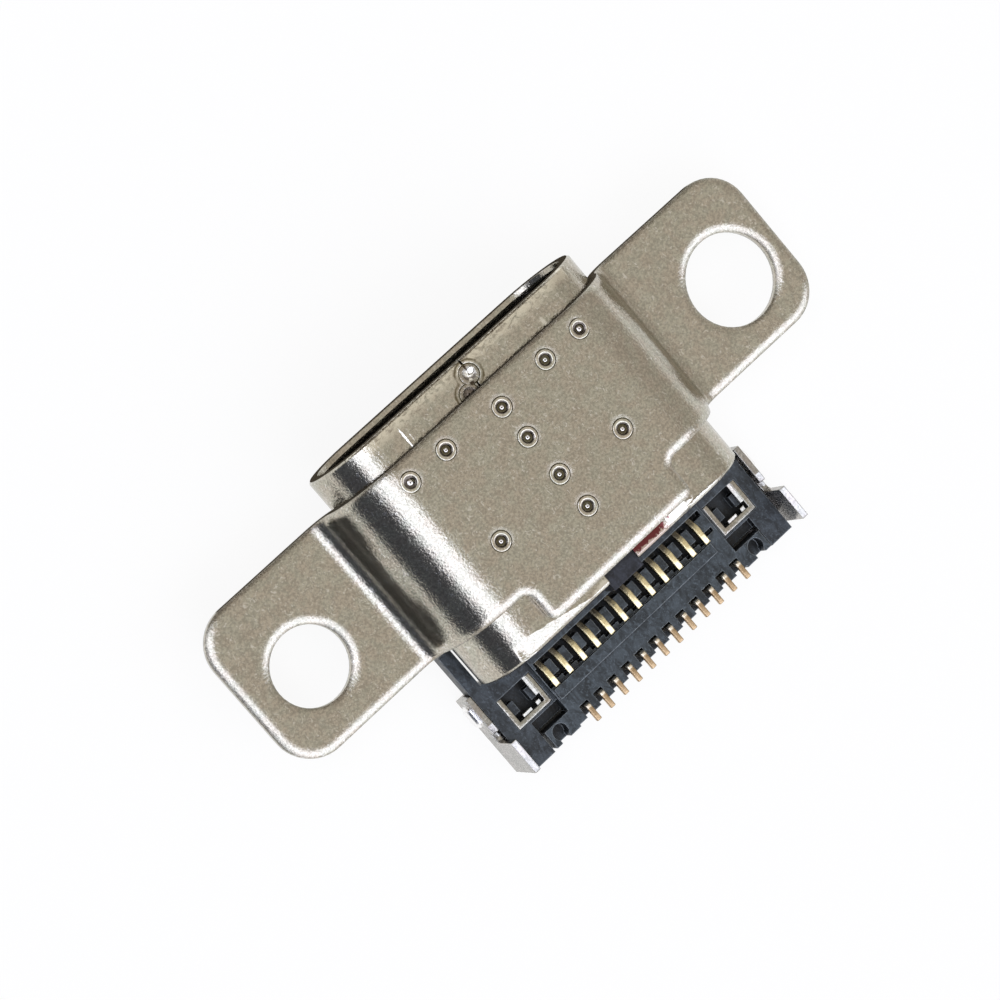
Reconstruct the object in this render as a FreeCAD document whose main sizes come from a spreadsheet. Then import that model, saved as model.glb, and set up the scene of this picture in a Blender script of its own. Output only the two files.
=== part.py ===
import FreeCAD, Part
import math
import os
import Sketcher
from FreeCAD import Vector

# USB-C board socket with two screw ears, seen from its solder side.
# Millimetres. +Z is up (the solder side), the mouth faces -Y, and the origin lies on the
# shell's flat underside, on the mouth's mid-plane and in line with the two ear holes.

os.makedirs("parts", exist_ok=True)
doc = FreeCAD.newDocument("board_socket")

# Sizes

TABLE = [
    # rolled inner shell
    ("shell_width", 8.94),
    ("shell_height", 3.16),
    ("shell_sheet", 0.30),
    ("mouth_y", -3.43),
    ("shell_length", 6.77),
    ("seam_x", -0.08),
    ("seam_gap", 0.04),
    ("shell_break", 0.06),
    # notch in the shell's rear edge and the plastic key that fills it
    ("key_low_x", -0.35),
    ("key_high_x", 0.66),
    ("key_length", 0.64),
    ("key_drop", 0.10),
    ("key_depth", 0.75),
    # bent cover with the two ears
    ("cover_sheet", 0.30),
    ("cover_front_y", -2.58),
    ("cover_rear_y", 2.00),
    ("flap_inset", 0.42),
    ("flap_length", 1.03),
    ("flap_round", 0.25),
    ("ear_length", 4.0583),
    ("ear_round", 1.10),
    ("ear_top_z", 1.40),
    ("ear_bend", 0.55),
    ("small_hole_inset", 1.90),
    ("large_hole_inset", 1.75),
    ("small_hole_radius", 1.05),
    ("large_hole_radius", 1.25),
    ("roll_width", 0.20),
    ("roll_depth", 0.07),
    # spot welds
    ("weld_ring_radius", 0.285),
    ("weld_ring_width", 0.05),
    ("weld_ring_depth", 0.02),
    ("weld_pit_radius", 0.17),
    ("weld_pit_depth", 0.045),
    # tongue and the plug that closes the shell
    ("tongue_side_gap", 0.825),
    ("tongue_thick", 0.70),
    ("tongue_round", 0.60),
    ("root_reach", 0.71),
    ("root_thick", 1.26),
    ("plug_proud", 0.08),
    ("latch_length", 0.80),
    ("latch_depth", 0.30),
    # steel plates in the tongue
    ("mid_sheet", 0.15),
    ("pad_sheet", 0.12),
    ("pad_inset", 0.30),
    # contacts
    ("pitch", 0.50),
    ("stagger", 0.125),
    ("contact_sheet", 0.12),
    ("blade_width", 0.25),
    ("tail_width", 0.15),
    ("lower_run_z", 0.66),
    ("upper_run_z", 0.36),
    ("upper_bend", 0.06),
    ("foot_top_z", 1.00),
    # rear housing
    ("base_z", 0.20),
    ("housing_top_z", 0.70),
    ("arm_tuck", 0.11),
    ("arm_width", 0.38),
    ("insert_floor_z", 0.30),
    ("pit_floor_z", 0.25),
    ("pit_wall", 0.40),
    ("recess_wall", 0.07),
    ("recess_floor_z", 0.42),
    # tail insert
    ("insert_side", 0.13),
    ("insert_wall", 0.08),
    ("insert_top_z", 0.85),
    ("wing_inset", 0.81),
    ("wing_gap", 0.07),
    ("wing_hole_inset", 0.34),
    ("wing_hole_radius", 0.22),
    ("wing_slot_half", 0.15),
    ("wing_hole_depth", 0.40),
    ("slot_width", 0.29),
    ("slot_shift", 0.035),
    ("slot_floor_z", 0.50),
    ("notch_floor_z", 0.62),
    ("ridge_right_inset", 0.41),
    ("ridge_left_inset", 0.04),
    ("ridge_height", 0.12),
    # bent ground frames in the housing's two pits
    ("frame_gap", 0.10),
    ("frame_sheet", 0.15),
    ("lug_length", 0.34),
    ("lug_share", 0.26),
    ("lug_top_z", 0.56),
    # rear shield with its two solder legs
    ("shield_gap", 0.06),
    ("shield_sheet", 0.17),
    ("shield_edge_z", 0.90),
    ("shield_notch_z", 0.62),
    ("leg_round", 0.15),
    ("leg_top_z", 1.72),
    ("boss_z", 0.50),
    ("boss_half", 0.36),
    ("boss_radius", 0.25),
    ("boss_height", 0.12),
    ("boss_bevel", 0.07),
]

# places along Y, measured from the mouth's edge towards the rear
BEHIND_MOUTH = [
    ("tongue_front", 0.55),
    ("mid_front", 0.83),
    ("blade_front", 1.00),
    ("latch_front", 1.88),
]

# places along Y, measured from the plug's rear face, where the housing starts
BEHIND_PLUG = [
    ("root_front", -2.12),
    ("pad_front", -2.02),
    ("arm_front", -1.25),
    ("plug_front", -0.95),
    ("blade_rear", -0.87),
    ("lower_dive", -0.82),
    ("upper_drop", -0.58),
    ("lower_level", -0.22),
    ("key_rear", 0.15),
    ("boss", 0.50),
    ("trench_front", 0.51),
    ("lower_rise", 0.53),
    ("frame_front", 0.60),
    ("trench_rear", 0.68),
    ("lower_foot", 0.86),
    ("lug_front", 0.88),
    ("notch_front", 1.08),
    ("shield_notch", 1.13),
    ("notch_rear", 1.20),
    ("slot_rear", 1.31),
    ("lower_tip", 1.32),
    ("ridge_front", 1.36),
    ("leg_front", 1.44),
    ("frame_rear", 1.56),
    ("ridge_rear", 1.67),
    ("wing_notch", 1.94),
    ("wing_front", 2.02),
    ("comb_front", 2.14),
    ("shield_floor_rear", 2.18),
    ("upper_rise", 2.19),
    ("wing_hole", 2.28),
    ("shield_rear", 2.43),
    ("insert_rear", 2.50),
    ("wing_rear", 2.55),
    ("housing_rear", 2.60),
    ("upper_tip", 2.73),
]

# spot welds: name, side, distance in from the side's flat edge (or X where the side is 0),
# nearer edge of the sheet, distance from that edge
WELDS = [
    ("weld_a", 1, -0.06, "cover_front_y", 0.58),
    ("weld_b", 1, 1.16, "cover_front_y", 0.58),
    ("weld_c", 0, -0.07, "cover_front_y", 0.73),
    ("weld_d", -1, 1.17, "cover_front_y", 0.58),
    ("weld_e", -1, -0.03, "cover_front_y", 0.58),
    ("weld_f", 0, -0.08, "cover_front_y", 1.72),
    ("weld_g", 0, -0.09, "cover_rear_y", -1.63),
    ("weld_h", 0, -0.11, "cover_rear_y", -0.56),
    ("weld_i", 1, 0.72, "cover_rear_y", -1.39),
    ("weld_j", -1, 0.79, "cover_rear_y", -1.39),
    ("seam_weld_a", 0, -0.06, "mouth_y", 0.45),
    ("seam_weld_b", 0, 0.26, "mouth_y", 0.84),
]

CONTACTS_PER_ROW = 12


class Size:
    """A length that carries both its number and the formula that gives it."""

    def __init__(self, value, text):
        self.value = value
        self.text = text

    def join(self, other, sign, value):
        right = other.text if isinstance(other, Size) else repr(float(other))
        return Size(value, "(" + self.text + " " + sign + " " + right + ")")

    def __add__(self, other):
        return self.join(other, "+", self.value + plain(other))

    def __sub__(self, other):
        return self.join(other, "-", self.value - plain(other))

    def __mul__(self, other):
        return self.join(other, "*", self.value * plain(other))

    def __truediv__(self, other):
        return self.join(other, "/", self.value / plain(other))

    def __neg__(self):
        return Size(-self.value, "(0 - " + self.text + ")")

    def squared(self):
        return self * self

    def root(self):
        return Size(math.sqrt(self.value), "sqrt(" + self.text + ")")


def plain(number):
    return number.value if isinstance(number, Size) else float(number)


sheet = doc.addObject("Spreadsheet::Sheet", "Sizes")
rows = list(TABLE)
for place, distance in BEHIND_MOUTH + BEHIND_PLUG:
    rows.append((place + "_behind", distance))
for weld, side, across, edge, along in WELDS:
    rows.append((weld + "_across", across))
    rows.append((weld + "_along", along))
size = {}
for row, (alias, number) in enumerate(rows, start=1):
    sheet.set("A%d" % row, alias)
    sheet.set("B%d" % row, str(number))
    sheet.setAlias("B%d" % row, alias)
    size[alias] = Size(number, "Sizes." + alias)
doc.recompute()

# Places and widths that follow from the sizes

ZERO = Size(0.0, "0")
shell_mid = size["shell_height"] / 2
shell_flat = (size["shell_width"] - size["shell_height"]) / 2
shell_radius = size["shell_height"] / 2
bore_radius = shell_radius - size["shell_sheet"]
cover_radius = shell_radius + size["cover_sheet"]
cover_top = size["shell_height"] + size["cover_sheet"]
ear_top = size["ear_top_z"]
ear_under = ear_top - size["cover_sheet"]

size["shell_rear_y"] = size["mouth_y"] + size["shell_length"]
size["plug_rear_y"] = size["shell_rear_y"] + size["plug_proud"]
for place, distance in BEHIND_MOUTH:
    size[place + "_y"] = size["mouth_y"] + size[place + "_behind"]
for place, distance in BEHIND_PLUG:
    size[place + "_y"] = size["plug_rear_y"] + size[place + "_behind"]
size["key_front_y"] = size["shell_rear_y"] - size["key_length"]
size["flap_rear_y"] = size["cover_rear_y"] + size["flap_length"]
size["flap_half"] = shell_flat - size["flap_inset"]

for weld, side, across, edge, along in WELDS:
    from_middle = size[weld + "_across"]
    if side:
        from_middle = shell_flat - from_middle
    size[weld + "_x"] = -from_middle if side < 0 else from_middle
    size[weld + "_y"] = size[edge] + size[weld + "_along"]

size["tongue_half"] = shell_flat + bore_radius - size["tongue_side_gap"]
size["root_half"] = shell_flat + size["root_reach"]
size["pad_half"] = size["root_half"] - size["pad_inset"]
size["arm_inner_x"] = size["shell_width"] / 2 - size["arm_tuck"]
size["housing_half"] = size["arm_inner_x"] + size["arm_width"]
size["shield_half"] = size["housing_half"] + size["shield_gap"] + size["shield_sheet"]
last_place = size["pitch"] * ((CONTACTS_PER_ROW - 1) / 2)
size["insert_half"] = last_place + size["stagger"] + size["tail_width"] / 2 + size["insert_side"]
size["trench_half"] = size["insert_half"] - size["insert_wall"]
size["ridge_low_x"] = size["ridge_right_inset"] - size["insert_half"]
size["ridge_high_x"] = size["insert_half"] - size["ridge_left_inset"]
size["frame_inner_x"] = size["insert_half"] + size["frame_gap"]
size["frame_outer_x"] = size["housing_half"] - size["pit_wall"]
size["wing_half"] = size["housing_half"] - size["wing_inset"]
size["wing_notch_x"] = size["wing_half"] + size["wing_gap"]
size["wing_hole_x"] = size["wing_half"] - size["wing_hole_inset"]


# Drawing helpers

def new_body(label):
    body = doc.addObject("PartDesign::Body", label)
    body.Label = label
    return body


def plane_of(body, role):
    for feature in body.Origin.OriginFeatures:
        if feature.Role == role:
            return feature
    raise RuntimeError("no plane " + role)


def new_sketch(body, label, role, level):
    """Empty sketch on one of the body's own planes, moved along the plane's normal by level."""
    sketch = body.newObject("Sketcher::SketchObject", label)
    sketch.AttachmentSupport = [(plane_of(body, role), "")]
    sketch.MapMode = "FlatFace"
    offset = -level if role == "XZ_Plane" else level
    sketch.AttachmentOffset.Base = Vector(0, 0, offset.value)
    sketch.setExpression(".AttachmentOffset.Base.z", offset.text)
    return sketch


def pin_point(sketch, geometry, position, point):
    """Ties one end of a line or arc to its two named coordinates."""
    for kind, coordinate in (("DistanceX", point[0]), ("DistanceY", point[1])):
        index = sketch.addConstraint(
            Sketcher.Constraint(kind, -1, 1, geometry, position, coordinate.value))
        sketch.setExpression("Constraints[%d]" % index, coordinate.text)


def draw_loop(sketch, corners, bends=None):
    """Closed outline through the corners. bends maps a side's number to (radius, turn):
    that side is an arc, turn 1 when it runs anticlockwise and -1 when clockwise."""
    bends = bends or {}
    count = len(corners)
    sides = []
    for number in range(count):
        start = corners[number]
        end = corners[(number + 1) % count]
        first = Vector(start[0].value, start[1].value, 0)
        last = Vector(end[0].value, end[1].value, 0)
        if number in bends:
            radius, turn = bends[number]
            chord = last - first
            half = chord.Length / 2
            rise = math.sqrt(max(radius.value ** 2 - half ** 2, 0.0))
            across = Vector(-chord.y, chord.x, 0).normalize()
            centre = (first + last) * 0.5 + across * (rise * turn)
            outward = across * (-turn)
            middle = centre + outward * radius.value
            geometry = sketch.addGeometry(Part.Arc(first, middle, last), False)
            sides.append((geometry, 1, 2) if turn > 0 else (geometry, 2, 1))
        else:
            geometry = sketch.addGeometry(Part.LineSegment(first, last), False)
            sides.append((geometry, 1, 2))
    for number in range(count):
        geometry, begin, end = sides[number]
        following = sides[(number + 1) % count]
        sketch.addConstraint(
            Sketcher.Constraint("Coincident", geometry, end, following[0], following[1]))
    for number in range(count):
        geometry, begin, end = sides[number]
        pin_point(sketch, geometry, begin, corners[number])
        if number in bends:
            radius = bends[number][0]
            index = sketch.addConstraint(
                Sketcher.Constraint("Radius", geometry, radius.value))
            sketch.setExpression("Constraints[%d]" % index, radius.text)


def draw_box(sketch, low_x, high_x, low_y, high_y):
    draw_loop(sketch, [(low_x, low_y), (high_x, low_y), (high_x, high_y), (low_x, high_y)])


def draw_circle(sketch, x, y, radius):
    circle = Part.Circle(Vector(x.value, y.value, 0), Vector(0, 0, 1), radius.value)
    geometry = sketch.addGeometry(circle, False)
    pin_point(sketch, geometry, 3, (x, y))
    index = sketch.addConstraint(Sketcher.Constraint("Radius", geometry, radius.value))
    sketch.setExpression("Constraints[%d]" % index, radius.text)


def draw_stadium(sketch, half_flat, radius, middle):
    """Flat oval across X: two half circles joined by straight runs."""
    low = middle - radius
    high = middle + radius
    far = half_flat + radius
    corners = [(-half_flat, low), (half_flat, low), (far, middle),
               (half_flat, high), (-half_flat, high), (-far, middle)]
    bends = {1: (radius, 1), 2: (radius, 1), 4: (radius, 1), 5: (radius, 1)}
    draw_loop(sketch, corners, bends)


def add_pad(body, sketch, label, length, reverse=False):
    feature = body.newObject("PartDesign::Pad", label)
    feature.Profile = sketch
    feature.Length = length.value
    feature.setExpression("Length", length.text)
    feature.Reversed = reverse
    sketch.Visibility = False
    return feature


def add_pocket(body, sketch, label, depth, reverse=False):
    feature = body.newObject("PartDesign::Pocket", label)
    feature.Profile = sketch
    feature.Length = depth.value
    feature.setExpression("Length", depth.text)
    feature.Reversed = reverse
    sketch.Visibility = False
    return feature


def repeat_along_x(body, feature, label, step, count):
    """Straight row of one feature along +X."""
    row = body.newObject("PartDesign::LinearPattern", label)
    row.Originals = [feature]
    row.Direction = (plane_of(body, "X_Axis"), [""])
    row.Length = step.value * (count - 1)
    row.setExpression("Length", (step * (count - 1)).text)
    row.Occurrences = count
    body.Tip = row
    return row


def cut(label, base, tool):
    feature = doc.addObject("Part::Cut", label)
    feature.Base = base
    feature.Tool = tool
    feature.Label = label
    return feature


def mark_welds(body, name, welds, face_z):
    """Ring groove and pit of every spot weld, sunk into the flat face at face_z."""
    rings = new_sketch(body, name + "_rings", "XY_Plane", face_z)
    pits = new_sketch(body, name + "_pits", "XY_Plane", face_z)
    for weld in welds:
        x = size[weld + "_x"]
        y = size[weld + "_y"]
        draw_circle(rings, x, y, size["weld_ring_radius"])
        draw_circle(rings, x, y, size["weld_ring_radius"] - size["weld_ring_width"])
        draw_circle(pits, x, y, size["weld_pit_radius"])
    add_pocket(body, rings, name + "_ring_grooves", size["weld_ring_depth"])
    return add_pocket(body, pits, name + "_pit_floors", size["weld_pit_depth"])


# Inner shell: flat-oval tube with a seam, two seam welds and a notch for the key

shell = new_body("inner_shell")
ring = new_sketch(shell, "shell_section", "XZ_Plane", size["mouth_y"])
draw_stadium(ring, shell_flat, shell_radius, shell_mid)
draw_stadium(ring, shell_flat, bore_radius, shell_mid)
add_pad(shell, ring, "shell_tube", size["shell_rear_y"] - size["mouth_y"], True)

seam = new_sketch(shell, "seam_line", "XY_Plane", size["shell_height"])
draw_box(seam, size["seam_x"] - size["seam_gap"] / 2, size["seam_x"] + size["seam_gap"] / 2,
         size["mouth_y"] - 0.1, size["shell_rear_y"] + 0.1)
add_pocket(shell, seam, "seam_slit", size["shell_sheet"] * 1.5)

notch = new_sketch(shell, "notch_outline", "XY_Plane", size["shell_height"])
draw_box(notch, size["key_low_x"], size["key_high_x"], size["key_front_y"],
         size["shell_rear_y"] + 0.1)
add_pocket(shell, notch, "key_notch", size["shell_sheet"] * 1.5)
mark_welds(shell, "seam_weld_a", ["seam_weld_a"], size["shell_height"])
unbroken = mark_welds(shell, "seam_weld_b", ["seam_weld_b"], size["shell_height"])
doc.recompute()


def outer_end_edges(shape):
    """Names of the tube's outer edges at the mouth and at the rear."""
    names = []
    for number, edge in enumerate(shape.Edges, start=1):
        first, last = edge.FirstParameter, edge.LastParameter
        points = [edge.valueAt(first + share * (last - first)) for share in (0.0, 0.5, 1.0)]
        outside = [abs(math.hypot(max(abs(point.x) - shell_flat.value, 0.0),
                                  point.z - shell_mid.value) - shell_radius.value) < 1e-4
                   for point in points]
        at_end = [min(abs(point.y - size["mouth_y"].value),
                      abs(point.y - size["shell_rear_y"].value)) < 1e-4 for point in points]
        if all(outside) and all(at_end):
            names.append("Edge%d" % number)
    return names


edge_break = shell.newObject("PartDesign::Chamfer", "broken_end_edges")
edge_break.Base = (unbroken, outer_end_edges(unbroken.Shape))
edge_break.Size = size["shell_break"].value
edge_break.setExpression("Size", size["shell_break"].text)

# Outer cover: one bent sheet over the shell's upper half, with the screw ears

cover = new_body("outer_cover")
bend_out = size["ear_bend"] + size["cover_sheet"]
# each bend is one arc that touches both the rounded side and the flat ear: its centre lies
# bend_rise above the shell's middle and bend_reach away from the rounded side's centre
bend_rise = ear_top + size["ear_bend"] - shell_mid
bend_reach = cover_radius + size["ear_bend"]
bend_run = (bend_reach.squared() - bend_rise.squared()).root()
foot = shell_flat + bend_run
size["ear_half"] = foot + size["ear_length"]
meet_x = shell_flat + bend_run * cover_radius / bend_reach
meet_z = shell_mid + bend_rise * cover_radius / bend_reach
under_x = shell_flat + bend_run * shell_radius / bend_reach
under_z = shell_mid + bend_rise * shell_radius / bend_reach
section = new_sketch(cover, "cover_section", "XZ_Plane", size["cover_front_y"] - 0.2)
section_corners = [
    (-size["ear_half"], ear_under),
    (-foot, ear_under),
    (-under_x, under_z),
    (-shell_flat, size["shell_height"]),
    (shell_flat, size["shell_height"]),
    (under_x, under_z),
    (foot, ear_under),
    (size["ear_half"], ear_under),
    (size["ear_half"], ear_top),
    (foot, ear_top),
    (meet_x, meet_z),
    (shell_flat, cover_top),
    (-shell_flat, cover_top),
    (-meet_x, meet_z),
    (-foot, ear_top),
    (-size["ear_half"], ear_top),
]
section_bends = {
    1: (bend_out, 1),
    2: (shell_radius, -1),
    4: (shell_radius, -1),
    5: (bend_out, 1),
    9: (size["ear_bend"], -1),
    10: (cover_radius, 1),
    12: (cover_radius, 1),
    13: (size["ear_bend"], -1),
}
draw_loop(section, section_corners, section_bends)
add_pad(cover, section, "cover_sheet_bent", size["flap_rear_y"] - size["cover_front_y"] + 0.4, True)

# plan outline: everything outside it is trimmed away
ear_in = size["ear_half"] - size["ear_round"]
front = size["cover_front_y"]
rear = size["cover_rear_y"]
flap = size["flap_half"]
flap_rear = size["flap_rear_y"]
turn = size["flap_round"]
round_ear = size["ear_round"]
trim = new_sketch(cover, "cover_outline", "XY_Plane", cover_top + 0.5)
draw_box(trim, -size["ear_half"] - 1.0, size["ear_half"] + 1.0, front - 1.0, flap_rear + 1.0)
outline = [
    (-ear_in, front),
    (ear_in, front),
    (size["ear_half"], front + round_ear),
    (size["ear_half"], rear - round_ear),
    (ear_in, rear),
    (flap + turn, rear),
    (flap, rear + turn),
    (flap, flap_rear - turn),
    (flap - turn, flap_rear),
    (turn - flap, flap_rear),
    (-flap, flap_rear - turn),
    (-flap, rear + turn),
    (-flap - turn, rear),
    (-ear_in, rear),
    (-size["ear_half"], rear - round_ear),
    (-size["ear_half"], front + round_ear),
]
outline_bends = {
    1: (round_ear, 1),
    3: (round_ear, 1),
    5: (turn, -1),
    7: (turn, 1),
    9: (turn, 1),
    11: (turn, -1),
    13: (round_ear, 1),
    15: (round_ear, 1),
}
draw_loop(trim, outline, outline_bends)
add_pocket(cover, trim, "cover_trim", cover_top + 1.0)

holes = new_sketch(cover, "ear_hole_circles", "XY_Plane", ear_top)
draw_circle(holes, size["ear_half"] - size["small_hole_inset"], ZERO, size["small_hole_radius"])
draw_circle(holes, size["large_hole_inset"] - size["ear_half"], ZERO, size["large_hole_radius"])
holes_cut = add_pocket(cover, holes, "ear_holes", size["cover_sheet"] * 1.5)
doc.recompute()

# the sheet is blanked from its outer side, so the edges of that side are rolled over: these
# are the edges of the ears, of the flap and of the rounded sides that lie on the outer face
def on_outer_face(point):
    """True on the top, on a rounded side, in a bend or on an ear's upper face."""
    across = abs(point.x)
    if across <= shell_flat.value + 1e-4:
        return abs(point.z - cover_top.value) < 1e-4
    if across >= foot.value - 1e-4:
        return abs(point.z - ear_top.value) < 1e-4
    from_side = math.hypot(across - shell_flat.value, point.z - shell_mid.value)
    bend_z = ear_top.value + size["ear_bend"].value
    from_bend = math.hypot(across - foot.value, point.z - bend_z)
    on_side = abs(from_side - cover_radius.value) < 1e-3
    return on_side or abs(from_bend - size["ear_bend"].value) < 1e-3


def outer_edges(shape, closed):
    """Names of the sheet's blanked edges on its outer face: the hole rims, or the outline."""
    names = []
    for number, edge in enumerate(shape.Edges, start=1):
        first, last = edge.FirstParameter, edge.LastParameter
        samples = [edge.valueAt(first + share * (last - first))
                   for share in (0.0, 0.25, 0.5, 0.75, 1.0)]
        spans_sheet = edge.BoundBox.YLength > shape.BoundBox.YLength * 0.7
        is_bend_line = spans_sheet and abs(samples[2].x) < foot.value + 0.01
        if all(on_outer_face(point) for point in samples) and not is_bend_line:
            if edge.isClosed() == closed:
                names.append("Edge%d" % number)
    return names


def roll_over(base, label, names):
    """Slopes the edges off: roll_width along the outer face and roll_depth down the wall."""
    edge = base.Shape.getElement(names[0])
    face = base.Shape.ancestorsOfType(edge, Part.Face)[0]
    u_low, u_high, v_low, v_high = face.ParameterRange
    normal = face.normalAt((u_low + u_high) / 2, (v_low + v_high) / 2)
    starts_on_wall = abs(normal.z) < 0.05
    sizes = [size["roll_width"], size["roll_depth"]]
    if starts_on_wall:
        sizes.reverse()
    rolled = cover.newObject("PartDesign::Chamfer", label)
    rolled.Base = (base, names)
    rolled.ChamferType = "Two distances"
    rolled.Size = sizes[0].value
    rolled.Size2 = sizes[1].value
    rolled.setExpression("Size", sizes[0].text)
    rolled.setExpression("Size2", sizes[1].text)
    doc.recompute()
    return rolled


def rim_of(shape, side):
    """Name of the hole rim on the ear at that side."""
    return [name for name in outer_edges(shape, True)
            if shape.getElement(name).CenterOfMass.x * side > 0]


outline_roll = roll_over(holes_cut, "outline_roll", outer_edges(holes_cut.Shape, False))
small_rim_roll = roll_over(outline_roll, "small_rim_roll", rim_of(outline_roll.Shape, 1))
roll_over(small_rim_roll, "large_rim_roll", rim_of(small_rim_roll.Shape, -1))
cover_welds = [weld[0] for weld in WELDS if weld[3] != "mouth_y"]
mark_welds(cover, "cover", cover_welds, cover_top)

# Contacts: twelve below and twelve above the tongue, each stamped and bent

sheet_t = size["contact_sheet"]
half_tongue = size["tongue_thick"] / 2
lower_z = shell_mid - half_tongue
upper_z = shell_mid + half_tongue - sheet_t
foot_under = size["foot_top_z"] - sheet_t
slant = sheet_t * 0.45


def lower_tail_profile():
    run = size["lower_run_z"]
    top = [
        (size["blade_rear_y"] - 0.3, lower_z + sheet_t),
        (size["lower_dive_y"] + slant, lower_z + sheet_t),
        (size["lower_level_y"] + slant, run + sheet_t),
        (size["lower_rise_y"] - slant, run + sheet_t),
        (size["lower_foot_y"] - slant, size["foot_top_z"]),
        (size["lower_tip_y"], size["foot_top_z"]),
    ]
    under = [
        (size["lower_tip_y"], foot_under),
        (size["lower_foot_y"] + slant, foot_under),
        (size["lower_rise_y"] + slant, run),
        (size["lower_level_y"] - slant, run),
        (size["lower_dive_y"] - slant, lower_z),
        (size["blade_rear_y"] - 0.3, lower_z),
    ]
    return top + under


def upper_tail_profile():
    run = size["upper_run_z"]
    drop = size["upper_drop_y"]
    rise = size["upper_rise_y"]
    bend = size["upper_bend"]
    return [
        (size["blade_rear_y"] - 0.3, upper_z + sheet_t),
        (drop - bend, upper_z + sheet_t),
        (drop, upper_z + sheet_t - bend),
        (drop, run + sheet_t),
        (rise, run + sheet_t),
        (rise, size["foot_top_z"] - bend),
        (rise + bend, size["foot_top_z"]),
        (size["upper_tip_y"], size["foot_top_z"]),
        (size["upper_tip_y"], foot_under),
        (rise + sheet_t, foot_under),
        (rise + sheet_t, run),
        (drop - sheet_t, run),
        (drop - sheet_t, upper_z),
        (size["blade_rear_y"] - 0.3, upper_z),
    ]


def master_contact(label, blade_z, tail_profile, tail_shift):
    """One contact: a straight blade on the tongue and a narrower tail set off to one side."""
    body = new_body(label)
    blade = new_sketch(body, label + "_blade", "XY_Plane", blade_z)
    draw_box(blade, -size["blade_width"] / 2, size["blade_width"] / 2,
             size["blade_front_y"], size["blade_rear_y"])
    add_pad(body, blade, label + "_blade_strip", sheet_t)
    tail = new_sketch(body, label + "_tail", "YZ_Plane", tail_shift - size["tail_width"] / 2)
    draw_loop(tail, list(reversed(tail_profile)))
    add_pad(body, tail, label + "_tail_strip", size["tail_width"])
    return body


def contact_row(name, master):
    """Twelve bodies based on the row's master, each moved to its place in the row."""
    row = []
    for number in range(1, CONTACTS_PER_ROW + 1):
        body = new_body("%s_contact_%02d" % (name, number))
        body.BaseFeature = master
        place = size["pitch"] * (number - (CONTACTS_PER_ROW + 1) / 2)
        body.Placement.Base = Vector(place.value, 0, 0)
        body.setExpression(".Placement.Base.x", place.text)
        row.append(body)
    return row


lower_master = master_contact("lower_contact", lower_z, lower_tail_profile(), size["stagger"])
upper_master = master_contact("upper_contact", upper_z, upper_tail_profile(), -size["stagger"])
contacts = contact_row("lower", lower_master) + contact_row("upper", upper_master)
contact_set = doc.addObject("Part::Compound", "contact_set")
contact_set.Links = contacts

# Middle plate and the two grounding pads

def latch_reliefs(body, name, level, depth):
    """Recess in both side edges where the plug's latches reach in."""
    sketch = new_sketch(body, name + "_latch_outline", "XY_Plane", level)
    inner = size["tongue_half"] - size["latch_depth"]
    latch_rear = size["latch_front_y"] + size["latch_length"]
    outer = size["tongue_half"] + 0.5
    draw_box(sketch, inner, outer, size["latch_front_y"], latch_rear)
    draw_box(sketch, -outer, -inner, size["latch_front_y"], latch_rear)
    return add_pocket(body, sketch, name + "_latch_recess", depth)


mid_plate = new_body("mid_plate")
mid_low = shell_mid - size["mid_sheet"] / 2
mid_outline = new_sketch(mid_plate, "mid_plate_outline", "XY_Plane", mid_low)
draw_box(mid_outline, -size["tongue_half"], size["tongue_half"], size["mid_front_y"],
         size["plug_front_y"])
add_pad(mid_plate, mid_outline, "mid_plate_sheet", size["mid_sheet"])
latch_reliefs(mid_plate, "mid_plate", mid_low + size["mid_sheet"] * 2, size["mid_sheet"] * 3)

root_top = shell_mid + size["root_thick"] / 2
root_low = shell_mid - size["root_thick"] / 2


def ground_pad(label, level):
    body = new_body(label)
    outline_sketch = new_sketch(body, label + "_outline", "XY_Plane", level)
    draw_box(outline_sketch, -size["pad_half"], size["pad_half"], size["pad_front_y"],
             size["plug_front_y"])
    add_pad(body, outline_sketch, label + "_sheet", size["pad_sheet"])
    return body


upper_pad = ground_pad("upper_ground_pad", root_top)
lower_pad = ground_pad("lower_ground_pad", root_low - size["pad_sheet"])

# Tongue: thin blade, thicker root and the oval plug that closes the shell

tongue_body = new_body("tongue_moulding")
tip = size["tongue_half"]
tip_front = size["tongue_front_y"]
tip_round = size["tongue_round"]
blade_plan = new_sketch(tongue_body, "tongue_plan", "XY_Plane", shell_mid - half_tongue)
draw_loop(blade_plan, [
    (tip_round - tip, tip_front),
    (tip - tip_round, tip_front),
    (tip, tip_front + tip_round),
    (tip, size["plug_front_y"] + 0.2),
    (-tip, size["plug_front_y"] + 0.2),
    (-tip, tip_front + tip_round),
], {1: (tip_round, 1), 5: (tip_round, 1)})
add_pad(tongue_body, blade_plan, "tongue_blade", size["tongue_thick"])
root_plan = new_sketch(tongue_body, "root_plan", "XY_Plane", root_low)
draw_box(root_plan, -size["root_half"], size["root_half"], size["root_front_y"],
         size["plug_front_y"] + 0.2)
add_pad(tongue_body, root_plan, "tongue_root", size["root_thick"])
plug_section = new_sketch(tongue_body, "plug_section", "XZ_Plane", size["plug_front_y"])
draw_stadium(plug_section, shell_flat, bore_radius, shell_mid)
add_pad(tongue_body, plug_section, "shell_plug",
        size["plug_rear_y"] - size["plug_front_y"], True)
key_plan = new_sketch(tongue_body, "key_plan", "XY_Plane",
                      size["shell_height"] - size["key_drop"])
draw_box(key_plan, size["key_low_x"], size["key_high_x"], size["key_front_y"],
         size["key_rear_y"])
add_pad(tongue_body, key_plan, "shell_key", size["key_depth"], True)
latch_reliefs(tongue_body, "tongue", shell_mid + size["tongue_thick"], size["tongue_thick"] * 2)
tongue_with_plate = cut("tongue_plate_slot", tongue_body, mid_plate)
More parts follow.
